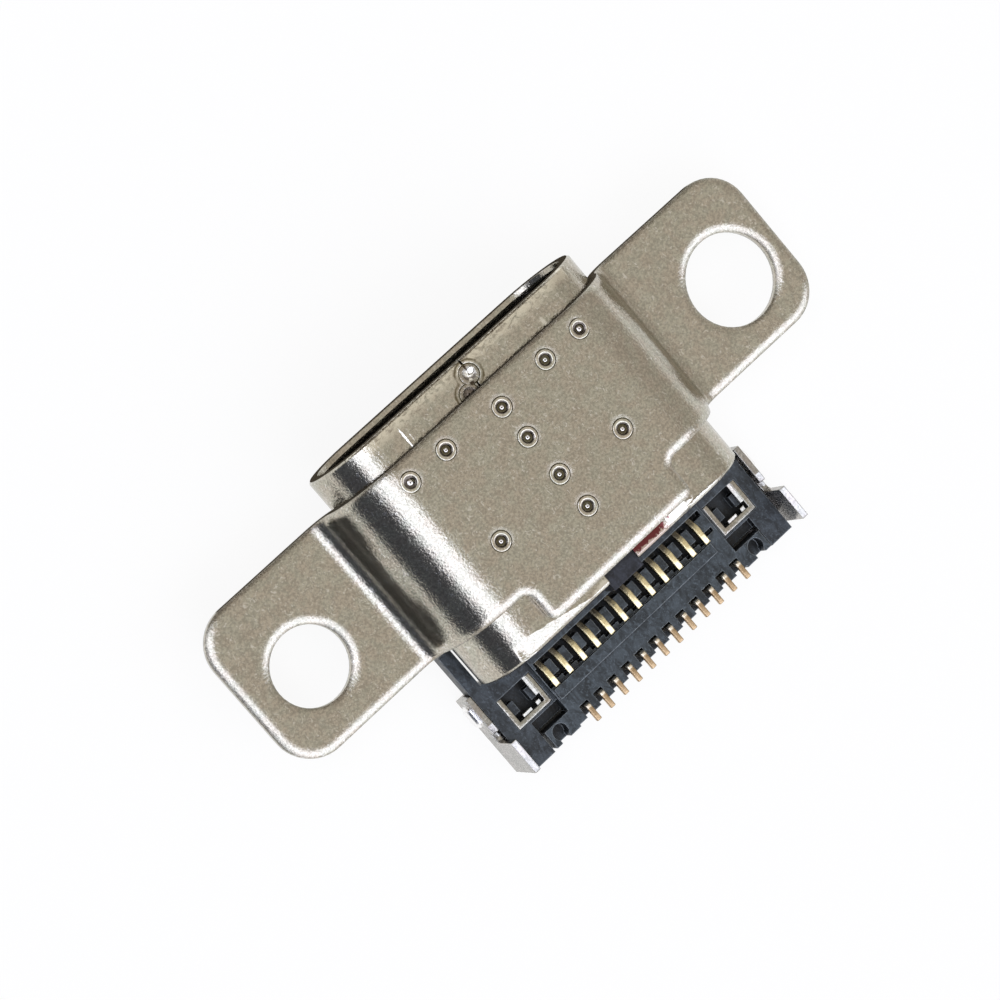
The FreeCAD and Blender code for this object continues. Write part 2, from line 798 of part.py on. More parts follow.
tongue = cut("tongue", tongue_with_plate, contact_set)

# Rear housing with its two arms, and the lugs in its two pits

housing = new_body("housing")
half = size["housing_half"]
arm = size["arm_inner_x"]
housing_plan = new_sketch(housing, "housing_plan", "XY_Plane", size["base_z"])
draw_loop(housing_plan, [
    (-half, size["arm_front_y"]),
    (-arm, size["arm_front_y"]),
    (-arm, size["plug_rear_y"]),
    (arm, size["plug_rear_y"]),
    (arm, size["arm_front_y"]),
    (half, size["arm_front_y"]),
    (half, size["housing_rear_y"]),
    (size["wing_notch_x"], size["housing_rear_y"]),
    (size["wing_notch_x"], size["wing_notch_y"]),
    (-size["wing_notch_x"], size["wing_notch_y"]),
    (-size["wing_notch_x"], size["housing_rear_y"]),
    (-half, size["housing_rear_y"]),
])
add_pad(housing, housing_plan, "housing_block", size["housing_top_z"] - size["base_z"])
cavity = new_sketch(housing, "insert_cavity_plan", "XY_Plane", size["housing_top_z"])
draw_box(cavity, -size["insert_half"], size["insert_half"], size["plug_rear_y"] - 0.2,
         size["wing_notch_y"] + 0.2)
add_pocket(housing, cavity, "insert_cavity", size["housing_top_z"] - size["insert_floor_z"])
pits = new_sketch(housing, "pit_plan", "XY_Plane", size["housing_top_z"])
draw_box(pits, size["frame_inner_x"], size["frame_outer_x"], size["frame_front_y"],
         size["frame_rear_y"])
draw_box(pits, -size["frame_outer_x"], -size["frame_inner_x"], size["frame_front_y"],
         size["frame_rear_y"])
add_pocket(housing, pits, "frame_pits", size["housing_top_z"] - size["pit_floor_z"])
recesses = new_sketch(housing, "corner_recess_plan", "XY_Plane", size["housing_top_z"])
recess_front = size["frame_rear_y"] + size["recess_wall"]
for low, high in ((size["insert_half"] - 0.1, size["wing_notch_x"]),
                  (-size["wing_notch_x"], -(size["insert_half"] - 0.1))):
    draw_box(recesses, low, high, recess_front, size["wing_notch_y"] + 0.1)
add_pocket(housing, recesses, "corner_recesses", size["housing_top_z"] - size["recess_floor_z"])
lugs = new_sketch(housing, "lug_plan", "XY_Plane", size["base_z"])
lug_rear = size["lug_front_y"] + size["lug_length"]
near = size["frame_inner_x"] + size["frame_sheet"]
far = size["frame_outer_x"] - size["frame_sheet"]
lug = (far - near) * size["lug_share"]
for low, high in ((near, near + lug), (far - lug, far), (-near - lug, -near), (-far, lug - far)):
    draw_box(lugs, low, high, size["lug_front_y"], lug_rear)
add_pad(housing, lugs, "pit_lugs", size["lug_top_z"] - size["base_z"])

# Tail insert: ribbed block that holds both rows of tails in line

insert_body = new_body("tail_insert_block")
core = size["insert_half"]
wing = size["wing_half"]
insert_plan = new_sketch(insert_body, "insert_plan", "XY_Plane", size["insert_floor_z"])
draw_loop(insert_plan, [
    (-core, size["plug_rear_y"]),
    (core, size["plug_rear_y"]),
    (core, size["wing_front_y"]),
    (wing, size["wing_front_y"]),
    (wing, size["wing_rear_y"]),
    (core, size["wing_rear_y"]),
    (core, size["insert_rear_y"]),
    (-core, size["insert_rear_y"]),
    (-core, size["wing_rear_y"]),
    (-wing, size["wing_rear_y"]),
    (-wing, size["wing_front_y"]),
    (-core, size["wing_front_y"]),
])
add_pad(insert_body, insert_plan, "insert_block", size["insert_top_z"] - size["insert_floor_z"])
ridge_plan = new_sketch(insert_body, "ridge_plan", "XY_Plane", size["insert_top_z"])
draw_box(ridge_plan, size["ridge_low_x"], size["ridge_high_x"], size["ridge_front_y"],
         size["ridge_rear_y"])
add_pad(insert_body, ridge_plan, "ridge", size["ridge_height"])
trench_plan = new_sketch(insert_body, "trench_plan", "XY_Plane", size["insert_top_z"])
draw_box(trench_plan, -size["trench_half"], size["trench_half"], size["trench_front_y"],
         size["trench_rear_y"])
add_pocket(insert_body, trench_plan, "front_trench",
           size["insert_top_z"] - size["slot_floor_z"])
notch_plan = new_sketch(insert_body, "rib_notch_plan", "XY_Plane", size["insert_top_z"])
draw_box(notch_plan, -size["trench_half"], size["trench_half"], size["notch_front_y"],
         size["notch_rear_y"])
add_pocket(insert_body, notch_plan, "rib_notch", size["insert_top_z"] - size["notch_floor_z"])

for name, shift, low_y, high_y in (
        ("front_slot", size["stagger"], size["trench_rear_y"] - 0.02, size["slot_rear_y"]),
        ("comb_slot", -size["stagger"], size["comb_front_y"], size["insert_rear_y"] + 0.2)):
    centre = shift + size["slot_shift"] - last_place
    plan = new_sketch(insert_body, name + "_plan", "XY_Plane", size["insert_top_z"])
    draw_box(plan, centre - size["slot_width"] / 2, centre + size["slot_width"] / 2,
             low_y, high_y)
    slot = add_pocket(insert_body, plan, name, size["insert_top_z"] - size["slot_floor_z"])
    repeat_along_x(insert_body, slot, name + "_row", size["pitch"], CONTACTS_PER_ROW)

wing_holes = new_sketch(insert_body, "wing_hole_plan", "XY_Plane", size["insert_top_z"])
wing_slots = new_sketch(insert_body, "wing_slot_plan", "XY_Plane", size["insert_top_z"])
for centre in (size["wing_hole_x"], -size["wing_hole_x"]):
    draw_circle(wing_holes, centre, size["wing_hole_y"], size["wing_hole_radius"])
    draw_box(wing_slots, centre - size["wing_slot_half"], centre + size["wing_slot_half"],
             size["wing_hole_y"], size["wing_rear_y"] + 0.2)
add_pocket(insert_body, wing_holes, "wing_holes", size["wing_hole_depth"])
add_pocket(insert_body, wing_slots, "wing_slots", size["wing_hole_depth"])
tail_insert = cut("tail_insert", insert_body, contact_set)

# Ground frames: a strip bent round three sides of each pit

def ground_frame(label, side):
    body = new_body(label)
    inner = size["frame_inner_x"]
    outer = size["frame_outer_x"]
    wall_t = size["frame_sheet"]
    low_y = size["frame_front_y"]
    high_y = size["frame_rear_y"]
    points = [
        (inner, low_y),
        (inner + wall_t, low_y),
        (inner + wall_t, high_y - wall_t),
        (outer - wall_t, high_y - wall_t),
        (outer - wall_t, low_y),
        (outer, low_y),
        (outer, high_y),
        (inner, high_y),
    ]
    if side < 0:
        points = [(-x, y) for x, y in reversed(points)]
    plan = new_sketch(body, label + "_plan", "XY_Plane", size["pit_floor_z"])
    draw_loop(plan, points)
    add_pad(body, plan, label + "_strip", size["housing_top_z"] - size["pit_floor_z"])
    return body


left_frame = ground_frame("left_ground_frame", 1)
right_frame = ground_frame("right_ground_frame", -1)

# Rear shield: a bent tray under the housing, with a solder leg on each side

shield = new_body("rear_shield")
outer_x = size["shield_half"]
inner_x = outer_x - size["shield_sheet"]
tray = new_sketch(shield, "shield_section", "XZ_Plane", size["plug_rear_y"])
draw_loop(tray, [
    (-outer_x, ZERO),
    (outer_x, ZERO),
    (outer_x, size["leg_top_z"]),
    (inner_x, size["leg_top_z"]),
    (inner_x, size["base_z"]),
    (-inner_x, size["base_z"]),
    (-inner_x, size["leg_top_z"]),
    (-outer_x, size["leg_top_z"]),
])
add_pad(shield, tray, "shield_tray", size["shield_rear_y"] - size["plug_rear_y"], True)
side_trim = new_sketch(shield, "shield_side_outline", "YZ_Plane", outer_x + 0.5)
ledge = size["shield_edge_z"]
leg = size["leg_front_y"]
leg_round = size["leg_round"]
draw_loop(side_trim, [
    (size["plug_rear_y"] - 0.5, ledge),
    (size["shield_notch_y"], ledge),
    (size["shield_notch_y"], size["shield_notch_z"]),
    (leg - leg_round, size["shield_notch_z"]),
    (leg, size["shield_notch_z"] + leg_round),
    (leg, size["leg_top_z"] + 0.5),
    (size["plug_rear_y"] - 0.5, size["leg_top_z"] + 0.5),
], {3: (leg_round, 1)})
add_pocket(shield, side_trim, "shield_side_trim", outer_x * 2 + 1.0)
floor_trim = new_sketch(shield, "shield_floor_outline", "XY_Plane", size["base_z"])
draw_box(floor_trim, -inner_x, inner_x, size["shield_floor_rear_y"], size["shield_rear_y"] + 0.5)
add_pocket(shield, floor_trim, "shield_floor_trim", size["base_z"] * 1.5)
for side, label in ((1, "left_boss"), (-1, "right_boss")):
    level = outer_x if side > 0 else -outer_x
    boss = new_sketch(shield, label + "_outline", "YZ_Plane", level)
    radius = size["boss_radius"]
    low = size["boss_y"] - size["boss_half"] + radius
    high = size["boss_y"] + size["boss_half"] - radius
    middle = size["boss_z"]
    draw_loop(boss, [
        (low, middle - radius),
        (high, middle - radius),
        (high + radius, middle),
        (high, middle + radius),
        (low, middle + radius),
        (low - radius, middle),
    ], {1: (radius, 1), 2: (radius, 1), 4: (radius, 1), 5: (radius, 1)})
    raised = add_pad(shield, boss, label, size["boss_height"], side < 0)
    doc.recompute()
    reach = (outer_x + size["boss_height"]).value
    rim = ["Edge%d" % number for number, edge in enumerate(raised.Shape.Edges, start=1)
           if edge.BoundBox.XLength < 1e-6 and abs(abs(edge.BoundBox.XMin) - reach) < 1e-6
           and edge.BoundBox.XMin * side > 0]
    bevel = shield.newObject("PartDesign::Chamfer", label + "_bevel")
    bevel.Base = (raised, rim)
    bevel.Size = size["boss_bevel"].value
    bevel.setExpression("Size", size["boss_bevel"].text)

# Check every object and write one file per piece

doc.recompute()
nodes = [shell, cover, tongue, housing, tail_insert, mid_plate, upper_pad, lower_pad,
         left_frame, right_frame, shield] + contacts

problems = []
for thing in doc.Objects:
    if "Invalid" in thing.State or "Error" in thing.State:
        problems.append(thing.Name + ": " + ", ".join(thing.State))
for node in nodes:
    shape = node.Shape
    if shape.isNull():
        problems.append(node.Label + ": no shape")
    elif not shape.isValid() or len(shape.Solids) != 1:
        problems.append("%s: %d solids, valid %s" % (node.Label, len(shape.Solids), shape.isValid()))
if problems:
    raise RuntimeError("; ".join(problems))

for node in nodes:
    box = node.Shape.BoundBox
    print("%-20s %6.3f mm3  x %6.2f..%5.2f  y %6.2f..%5.2f  z %5.2f..%4.2f" % (
        node.Label, node.Shape.Volume, box.XMin, box.XMax, box.YMin, box.YMax,
        box.ZMin, box.ZMax))
    node.Shape.exportStep("parts/" + node.Label + ".step")
print(len(nodes), "pieces written")
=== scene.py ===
# %% [markdown]
# # A board socket with two screw ears, seen from its solder side
# The socket is stamped and bent from thin nickel-plated steel, moulded in dark plastic and
# fitted with gold-plated contacts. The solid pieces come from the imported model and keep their
# place, so this lesson is about light, camera and finish: how thin plated sheet, soft moulding
# grain and worn gold are told apart in a close photograph.

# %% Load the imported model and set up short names
import math

import bmesh
import bpy
from mathutils import Euler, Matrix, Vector


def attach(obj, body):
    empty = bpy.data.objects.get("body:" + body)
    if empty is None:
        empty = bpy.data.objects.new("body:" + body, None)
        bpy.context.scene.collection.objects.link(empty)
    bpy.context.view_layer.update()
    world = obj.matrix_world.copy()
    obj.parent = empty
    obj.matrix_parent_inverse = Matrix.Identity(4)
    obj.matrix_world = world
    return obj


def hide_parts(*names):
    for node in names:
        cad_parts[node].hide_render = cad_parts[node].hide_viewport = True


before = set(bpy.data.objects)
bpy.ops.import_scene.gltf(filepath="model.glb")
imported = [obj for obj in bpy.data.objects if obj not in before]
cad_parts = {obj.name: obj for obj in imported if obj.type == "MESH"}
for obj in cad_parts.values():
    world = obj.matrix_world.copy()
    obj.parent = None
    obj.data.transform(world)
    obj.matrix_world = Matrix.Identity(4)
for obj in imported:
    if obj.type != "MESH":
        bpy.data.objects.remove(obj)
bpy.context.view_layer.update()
MM = 0.001

# %% [markdown]
# ## Camera
# The photograph is a close one, taken from above the solder side and leaning a little towards
# the mouth. Where the ears' corners, the hole rims and the tails' ends fall in the picture fixes
# where such a camera stands: about 90 mm away, with a narrow field of view. It could be aimed
# with a tracking constraint, but a place and a turn set directly also keep the picture's tilt.
# The focal length is worked out from the field of view.

# %% Place the camera
CAMERA_PLACE_MM = (22.953, -12.852, 86.246)
CAMERA_TURN_DEG = (3.2706, -16.4323, 137.9757)
PICTURE_PIXELS = 1000
FOCAL_PIXELS = 3492.5
SENSOR_WIDTH_MM = 36.0
NEAREST_MM, FURTHEST_MM = 5, 2000


def placed(name, data):
    """A new object with that mesh or camera, put into the scene."""
    thing = bpy.data.objects.new(name, data)
    bpy.context.scene.collection.objects.link(thing)
    return thing


camera_data = bpy.data.cameras.new("close_up_camera")
camera_data.sensor_width = SENSOR_WIDTH_MM
camera_data.lens = FOCAL_PIXELS / PICTURE_PIXELS * SENSOR_WIDTH_MM
camera_data.clip_start = NEAREST_MM * MM
camera_data.clip_end = FURTHEST_MM * MM
camera = placed("close_up_camera", camera_data)
camera.location = Vector(CAMERA_PLACE_MM) * MM
camera.rotation_euler = Euler([math.radians(a) for a in CAMERA_TURN_DEG], "XYZ")
bpy.context.scene.camera = camera
bpy.context.scene.view_settings.view_transform = "Standard"
print("camera focal length", round(camera_data.lens, 2), "mm")

# %% [markdown]
# ## Small helpers for node trees
# Every finish below, and the studio round the socket, is a tree of shader nodes. A node's input
# either holds a value or is fed by another node's output, so one helper does both, and the
# others each add one kind of node and hand back its output. That keeps every finish short
# enough to read as a recipe.

# %% Feed a socket and add plain nodes
def feed(socket, source):
    """Join source to the socket when it is an output, or else set it as the value."""
    if isinstance(source, bpy.types.NodeSocket):
        socket.id_data.links.new(source, socket)
    elif isinstance(source, tuple) and len(source) == 3 and len(socket.default_value) == 4:
        socket.default_value = (*source, 1.0)
    else:
        socket.default_value = source


def sums(tree, operation, first, second=0.0):
    """One step of arithmetic on two numbers."""
    node = tree.nodes.new("ShaderNodeMath")
    node.operation = operation
    feed(node.inputs[0], first)
    feed(node.inputs[1], second)
    return node.outputs[0]


def fade(tree, value, start, end, low=0.0, high=1.0):
    """Soft step: low where value is start or less, high where it is end or more."""
    node = tree.nodes.new("ShaderNodeMapRange")
    node.interpolation_type = "SMOOTHSTEP"
    feed(node.inputs["Value"], value)
    limits = {"From Min": start, "From Max": end, "To Min": low, "To Max": high}
    for socket, number in limits.items():
        node.inputs[socket].default_value = number
    return node.outputs["Result"]


def mixed(tree, amount, first, second, mode="MIX"):
    """Colour between first and second, or second laid over first in another mode."""
    node = tree.nodes.new("ShaderNodeMix")
    node.data_type = "RGBA"
    node.blend_type = mode
    colours = [socket for socket in node.inputs if socket.type == "RGBA"]
    feed(node.inputs["Factor"], amount)
    feed(colours[0], first)
    feed(colours[1], second)
    return next(socket for socket in node.outputs if socket.type == "RGBA")


print("node helpers", [helper.__name__ for helper in (feed, sums, fade, mixed)])

# %% [markdown]
# ## Patterns in the material
# Plated sheet is never one colour. Under a lens it shows a fine orange-peel grain, a few light
# flecks where tools have rubbed it, and broad patches a shade warmer or cooler. Noise read in
# the part's own coordinates gives all three at their true size in millimetres, and it stays in
# place whichever way the socket is turned. Single marks, such as a heat stain, are soft spots at
# a place of their own, and a soft step along one axis tells the parts of a piece apart.

# %% Noise, spots and steps measured in millimetres
RAGGED_SIZE_MM = 0.12


def part_places(tree):
    return tree.nodes.new("ShaderNodeTexCoord").outputs["Object"]


def noise(tree, places, size_mm, detail=3.0, rough=0.6, stretch=(1, 1, 1), turn=0.0, twist=0.0):
    """Noise with blobs about size_mm wide; longer where stretch is under 1, curled by twist."""
    mapping = tree.nodes.new("ShaderNodeMapping")
    feed(mapping.inputs["Vector"], places)
    mapping.inputs["Rotation"].default_value = (0, 0, math.radians(turn))
    mapping.inputs["Scale"].default_value = stretch
    node = tree.nodes.new("ShaderNodeTexNoise")
    feed(node.inputs["Vector"], mapping.outputs["Vector"])
    node.inputs["Scale"].default_value = 1.0 / (size_mm * MM)
    node.inputs["Detail"].default_value = detail
    node.inputs["Roughness"].default_value = rough
    node.inputs["Distortion"].default_value = twist
    return node.outputs["Fac"]


def spot(tree, places, centre_mm, half_mm, soft=0.3, ragged=0.0):
    """1 inside an ellipse, 0 outside it; soft is its edge and ragged how uneven that edge is."""
    shift = tree.nodes.new("ShaderNodeVectorMath")
    shift.operation = "SUBTRACT"
    feed(shift.inputs[0], places)
    shift.inputs[1].default_value = [c * MM for c in centre_mm]
    mapping = tree.nodes.new("ShaderNodeMapping")
    feed(mapping.inputs["Vector"], shift.outputs["Vector"])
    mapping.inputs["Scale"].default_value = [1.0 / (h * MM) for h in half_mm]
    length = tree.nodes.new("ShaderNodeVectorMath")
    length.operation = "LENGTH"
    feed(length.inputs[0], mapping.outputs["Vector"])
    reach = length.outputs["Value"]
    if ragged:
        uneven = sums(tree, "SUBTRACT", noise(tree, places, RAGGED_SIZE_MM), 0.5)
        reach = sums(tree, "ADD", reach, sums(tree, "MULTIPLY", uneven, ragged * 2))
    return fade(tree, reach, 1.0 - soft, 1.0 + soft, 1.0, 0.0)


def axis_of(tree, places, letter):
    split = tree.nodes.new("ShaderNodeSeparateXYZ")
    feed(split.inputs[0], places)
    return split.outputs[letter]


def beyond(tree, places, letter, start_mm):
    """How far a point lies beyond start_mm on one axis, in metres."""
    return sums(tree, "SUBTRACT", axis_of(tree, places, letter), start_mm * MM)


def step_along(tree, places, letter, span_mm, low=0.0, high=1.0):
    """Soft step along one axis, from low to high over the span."""
    start, end = [place * MM for place in span_mm]
    return fade(tree, axis_of(tree, places, letter), start, end, low, high)


print("edge noise of a ragged spot", RAGGED_SIZE_MM, "mm")

# %% [markdown]
# ## The studio
# A bare metal part has hardly any colour of its own: it shows the room. In the photograph the
# flats show an even warm panel overhead, the bends facing right show a white strip and then a
# dark part of the room, the edges that face the rear burn out in a white panel, and those facing
# the mouth fall dark. Area lamps could do this, but each would also need its own dark gaps. So
# the room is built in the world's nodes by direction: each panel is a soft step on the ray's own
# x, y or z. The panels are measured so that the light that falls on the floor comes to about 1,
# at which a colour renders about as it is written.

# %% Build the room by direction
WARM_PANEL = (0.68, 0.64, 0.58)
WHITE_PANEL = (2.30, 2.40, 2.80)
LEFT_WALL = (0.56, 0.52, 0.47)
DARK_CORNER = (0.085, 0.092, 0.112)
LOW_STREAK = (0.15, 0.155, 0.175)
FRONT_SHADE = (0.12, 0.095, 0.072)
LEFT_WALL_SIDE = (-0.80, -0.45)
REAR_PANEL_DEPTH, REAR_PANEL_HEIGHT = (0.40, 0.56), (0.28, 0.42)
STRIP_SIDE, STRIP_HEIGHT = (0.12, 0.20), (0.30, 0.45)
STREAK_HEIGHT = (0.03, 0.22)
CORNER_SIDE = (0.54, 0.62)
SHADE_DEPTH = (-0.74, -0.50)

world = bpy.data.worlds.new("soft_studio")
bpy.context.scene.world = world
world.use_nodes = True
room = world.node_tree
room.nodes.clear()
direction = room.nodes.new("ShaderNodeSeparateXYZ")
feed(direction.inputs[0], room.nodes.new("ShaderNodeTexCoord").outputs["Generated"])
side, depth, height = (direction.outputs[k] for k in ("X", "Y", "Z"))

seen = mixed(room, fade(room, side, *LEFT_WALL_SIDE, 1.0, 0.0), WARM_PANEL, LEFT_WALL)
panel = sums(room, "MULTIPLY", fade(room, depth, *REAR_PANEL_DEPTH),
             fade(room, height, *REAR_PANEL_HEIGHT))
seen = mixed(room, panel, seen, WHITE_PANEL)
strip = sums(room, "MULTIPLY", fade(room, side, *STRIP_SIDE), fade(room, height, *STRIP_HEIGHT))
seen = mixed(room, strip, seen, WHITE_PANEL)
low_down = fade(room, sums(room, "ABSOLUTE", height), *STREAK_HEIGHT, 1.0, 0.0)
corner = mixed(room, low_down, DARK_CORNER, LOW_STREAK)
seen = mixed(room, fade(room, side, *CORNER_SIDE), seen, corner)
seen = mixed(room, fade(room, depth, *SHADE_DEPTH, 1.0, 0.0), seen, FRONT_SHADE)
print("soft steps in the room", len([n for n in room.nodes if n.type == "MAP_RANGE"]))

# %% [markdown]
# The room lights the socket and shows in its plating, but behind the socket a plain white is
# wanted. The Light Path node tells a ray that comes straight from the camera, or through
# something clear, from one that bounces off the metal.

# %% Show white to the camera
PLAIN_WHITE = (1.0, 1.0, 1.0)


def straight_rays(tree, with_glossy):
    """1 for a ray that comes from the camera or passes through something clear."""
    path = tree.nodes.new("ShaderNodeLightPath")
    total = sums(tree, "MAXIMUM", path.outputs["Is Camera Ray"],
                 path.outputs["Is Transmission Ray"])
    if with_glossy:
        total = sums(tree, "MAXIMUM", total, path.outputs["Is Glossy Ray"])
    return total


light = room.nodes.new("ShaderNodeBackground")
feed(light.inputs["Color"], mixed(room, straight_rays(room, False), seen, PLAIN_WHITE))
room_output = room.nodes.new("ShaderNodeOutputWorld")
feed(room_output.inputs["Surface"], light.outputs["Background"])
print("colour behind the socket", PLAIN_WHITE)

# %% [markdown]
# ## Floor
# The socket lies on plain white paper. Paper under soft light is a matt surface, and the little
# light it adds of its own to the camera's view keeps it white between the ears and in the screw
# holes, while the socket's soft shadow still shows. The paper gives the metal's reflections the
# same white, and adds no light to the socket.

# %% Lay the paper
FLOOR_REACH_MM = 2500
FLOOR_DROP_MM = 0.01
PAPER_GLOW = 0.90
PAPER_FIBRE_MM = 0.6
PAPER_TONES = ((0.93, 0.92, 0.90), (0.96, 0.95, 0.93))

floor_mesh = bpy.data.meshes.new("white_paper_floor")
reach = FLOOR_REACH_MM * MM
floor_mesh.from_pydata([(-reach, -reach, 0), (reach, -reach, 0), (reach, reach, 0),
                        (-reach, reach, 0)], [], [(0, 1, 2, 3)])
floor = placed("white_paper_floor", floor_mesh)
floor.location.z = -FLOOR_DROP_MM * MM

paper = bpy.data.materials.new("white_paper")
paper.use_nodes = True
sheet = paper.node_tree
sheet.nodes.clear()
matt = sheet.nodes.new("ShaderNodeBsdfDiffuse")
paper_fibre = noise(sheet, part_places(sheet), PAPER_FIBRE_MM)
feed(matt.inputs["Color"], mixed(sheet, paper_fibre, *PAPER_TONES))
glow = sheet.nodes.new("ShaderNodeEmission")
glow.inputs["Color"].default_value = (*PLAIN_WHITE, 1)
share = sheet.nodes.new("ShaderNodeMixShader")
feed(share.inputs["Fac"], sums(sheet, "MULTIPLY", straight_rays(sheet, True), PAPER_GLOW))
feed(share.inputs[1], matt.outputs["BSDF"])
feed(share.inputs[2], glow.outputs["Emission"])
paper_output = sheet.nodes.new("ShaderNodeOutputMaterial")
feed(paper_output.inputs["Surface"], share.outputs["Shader"])
floor_mesh.materials.append(paper)
print("paper glow", PAPER_GLOW)

# %% [markdown]
# ## What all finishes share
# Every finish is one Principled shader with a tree of its own. Thin sheet and small mouldings
# have edges only a few hundredths of a millimetre round. Building each would take many faces,
# so the Bevel node turns the normal gently over them. The same node finds the corners, which
# are painted lighter, partly wear and partly a painted highlight: there its normal differs from
# the true one. A height fed to the Bump node tips the surface in the shading without moving it.

# %% Parts of a finish
ROUND_SAMPLES = 6
CORNER_SAMPLES = 4
CORNER_LIKENESS = (0.80, 0.99)


def empty_finish(name):
    """A material with one Principled shader: gives the material, its tree and the shader."""
    finish = bpy.data.materials.new(name)
    finish.use_nodes = True
    tree = finish.node_tree
    tree.nodes.clear()
    shader = tree.nodes.new("ShaderNodeBsdfPrincipled")
    output = tree.nodes.new("ShaderNodeOutputMaterial")
    feed(output.inputs["Surface"], shader.outputs["BSDF"])
    return finish, tree, shader


def shade_of(colour, factor):
    return tuple(part * factor for part in colour)


def bumped(tree, height_source, distance_mm, under=None):
    """A normal that follows the height; distance_mm is how high a height of 1 stands."""
    node = tree.nodes.new("ShaderNodeBump")
    node.inputs["Distance"].default_value = distance_mm * MM
    feed(node.inputs["Height"], height_source)
    if under is not None:
        feed(node.inputs["Normal"], under)
    return node.outputs["Normal"]


def tipped(tree, height_in_metres, under):
    """A normal that follows a height already given in metres."""
    return bumped(tree, height_in_metres, 1.0 / MM, under)


def rounded_normal(tree, radius_mm, samples=ROUND_SAMPLES):
    """Normal that turns gently over an edge, as over one with that radius."""
    node = tree.nodes.new("ShaderNodeBevel")
    node.samples = samples
    node.inputs["Radius"].default_value = radius_mm * MM
    return node.outputs["Normal"]


def corner_mask(tree, radius_mm):
    """1 on corners, 0 on flats, and the rounded normal that tells them apart."""
    rounded = rounded_normal(tree, radius_mm, CORNER_SAMPLES)
    likeness = tree.nodes.new("ShaderNodeVectorMath")
    likeness.operation = "DOT_PRODUCT"
    feed(likeness.inputs[0], rounded)
    feed(likeness.inputs[1], tree.nodes.new("ShaderNodeNewGeometry").outputs["Normal"])
    return fade(tree, likeness.outputs["Value"], *CORNER_LIKENESS, 1.0, 0.0), rounded


print("corners show where the normals' likeness is under", CORNER_LIKENESS[1])

# %% [markdown]
# ## Nickel plate on stamped steel
# The cover and the shell are one satin nickel finish. Nickel's own colour is a warm grey. Over
# it lie the fine grain of the rolled sheet, light flecks, and patches of warmer and cooler tone.
# The same grain as a very shallow bump, a few microns high, makes the edge of every bright band
# on the bends ragged, as it is on the real plating. Marks that belong to one piece are laid over
# the colour before it reaches the shader, and where a sheet was cut, bare steel is rougher than
# the plating, and its colour and specular tint are darkened, a painted shade.

# %% The plated finish
GRAIN_MM, GRAIN_STEP, GRAIN_TONES = 0.065, (0.34, 0.66), (0.80, 1.15)
PATCH_MM, PATCH_STEP = 0.45, (0.38, 0.62)
WARM_TINT, COOL_TINT = (1.0, 0.965, 0.955), (0.975, 0.995, 0.98)
FLECK_MM, FLECK_STEP, FLECK_STRENGTH = 0.12, (0.58, 0.68), 0.8
FLECK_WHITE, FLECK_LIFT = (1.0, 0.97, 0.90), 1.55
WEAR_STEP, WEAR_RANGE = (0.3, 0.7), (0.8, 1.25)
BARE_ROUGH, CUT_END_SHADE_TINT = 0.7, (0.15, 0.12, 0.09)


def plated_colour(tree, places, colour, grain_mm):
    """Nickel colour with grain, patches and flecks."""
    fine = fade(tree, noise(tree, places, grain_mm, 2.0, 0.7), *GRAIN_STEP)
    tone = mixed(tree, fine, *(shade_of(colour, factor) for factor in GRAIN_TONES))
    patches = fade(tree, noise(tree, places, PATCH_MM), *PATCH_STEP)
    tone = mixed(tree, 1.0, tone, mixed(tree, patches, WARM_TINT, COOL_TINT), "MULTIPLY")
    flecks = noise(tree, places, FLECK_MM, stretch=(1, 0.8, 1), turn=35, twist=1.6)
    flecks = sums(tree, "MULTIPLY", fade(tree, flecks, *FLECK_STEP), FLECK_STRENGTH)
    return mixed(tree, flecks, tone, shade_of(FLECK_WHITE, max(colour) * FLECK_LIFT))


def plated_steel(name, colour, rough, grain_mm=GRAIN_MM, bump_mm=0.006, round_mm=0.07, marks=(),
                 relief=None, dull=None):
    """Satin nickel plate; marks are (mask maker, colour, strength) laid over it in turn, relief
    makes a height in metres that turns the surface a little, and dull masks bare, rough metal,
    whose specular tint is darkened as a painted shade."""
    finish, tree, shader = empty_finish(name)
    places = part_places(tree)
    tone = plated_colour(tree, places, colour, grain_mm)
    for mask_of, mark_colour, strength in marks:
        mask = sums(tree, "MULTIPLY", mask_of(tree, places), strength)
        tone = mixed(tree, mask, tone, mark_colour)
    feed(shader.inputs["Base Color"], tone)
    shader.inputs["Metallic"].default_value = 1.0
    smooth_to_worn = [rough * part for part in WEAR_RANGE]
    roughness = fade(tree, noise(tree, places, PATCH_MM), *WEAR_STEP, *smooth_to_worn)
    if dull is not None:
        bare = dull(tree, places)
        roughness = sums(tree, "MAXIMUM", roughness, sums(tree, "MULTIPLY", bare, BARE_ROUGH))
        # Painted shade: the cut ends' specular tint is darkened.
        feed(shader.inputs["Specular Tint"], mixed(tree, bare, PLAIN_WHITE, CUT_END_SHADE_TINT))
    feed(shader.inputs["Roughness"], roughness)
    base_normal = rounded_normal(tree, round_mm)
    if relief is not None:
        base_normal = tipped(tree, relief(tree, places), base_normal)
    peel = noise(tree, places, grain_mm, rough=0.55)
    feed(shader.inputs["Normal"], bumped(tree, peel, bump_mm, base_normal))
    return finish


print("plating grain", GRAIN_MM, "mm")

# %% [markdown]
# ## Marks of the seam welds
# The shell's front strip, by the mouth, carries the butt seam: a dark slit that ends in two
# welds with one brown heat ring round them, like a figure eight, and a bright splash beside the
# slit. An image could hold such marks, but soft spots with uneven edges need no picture and can
# be moved by their numbers.

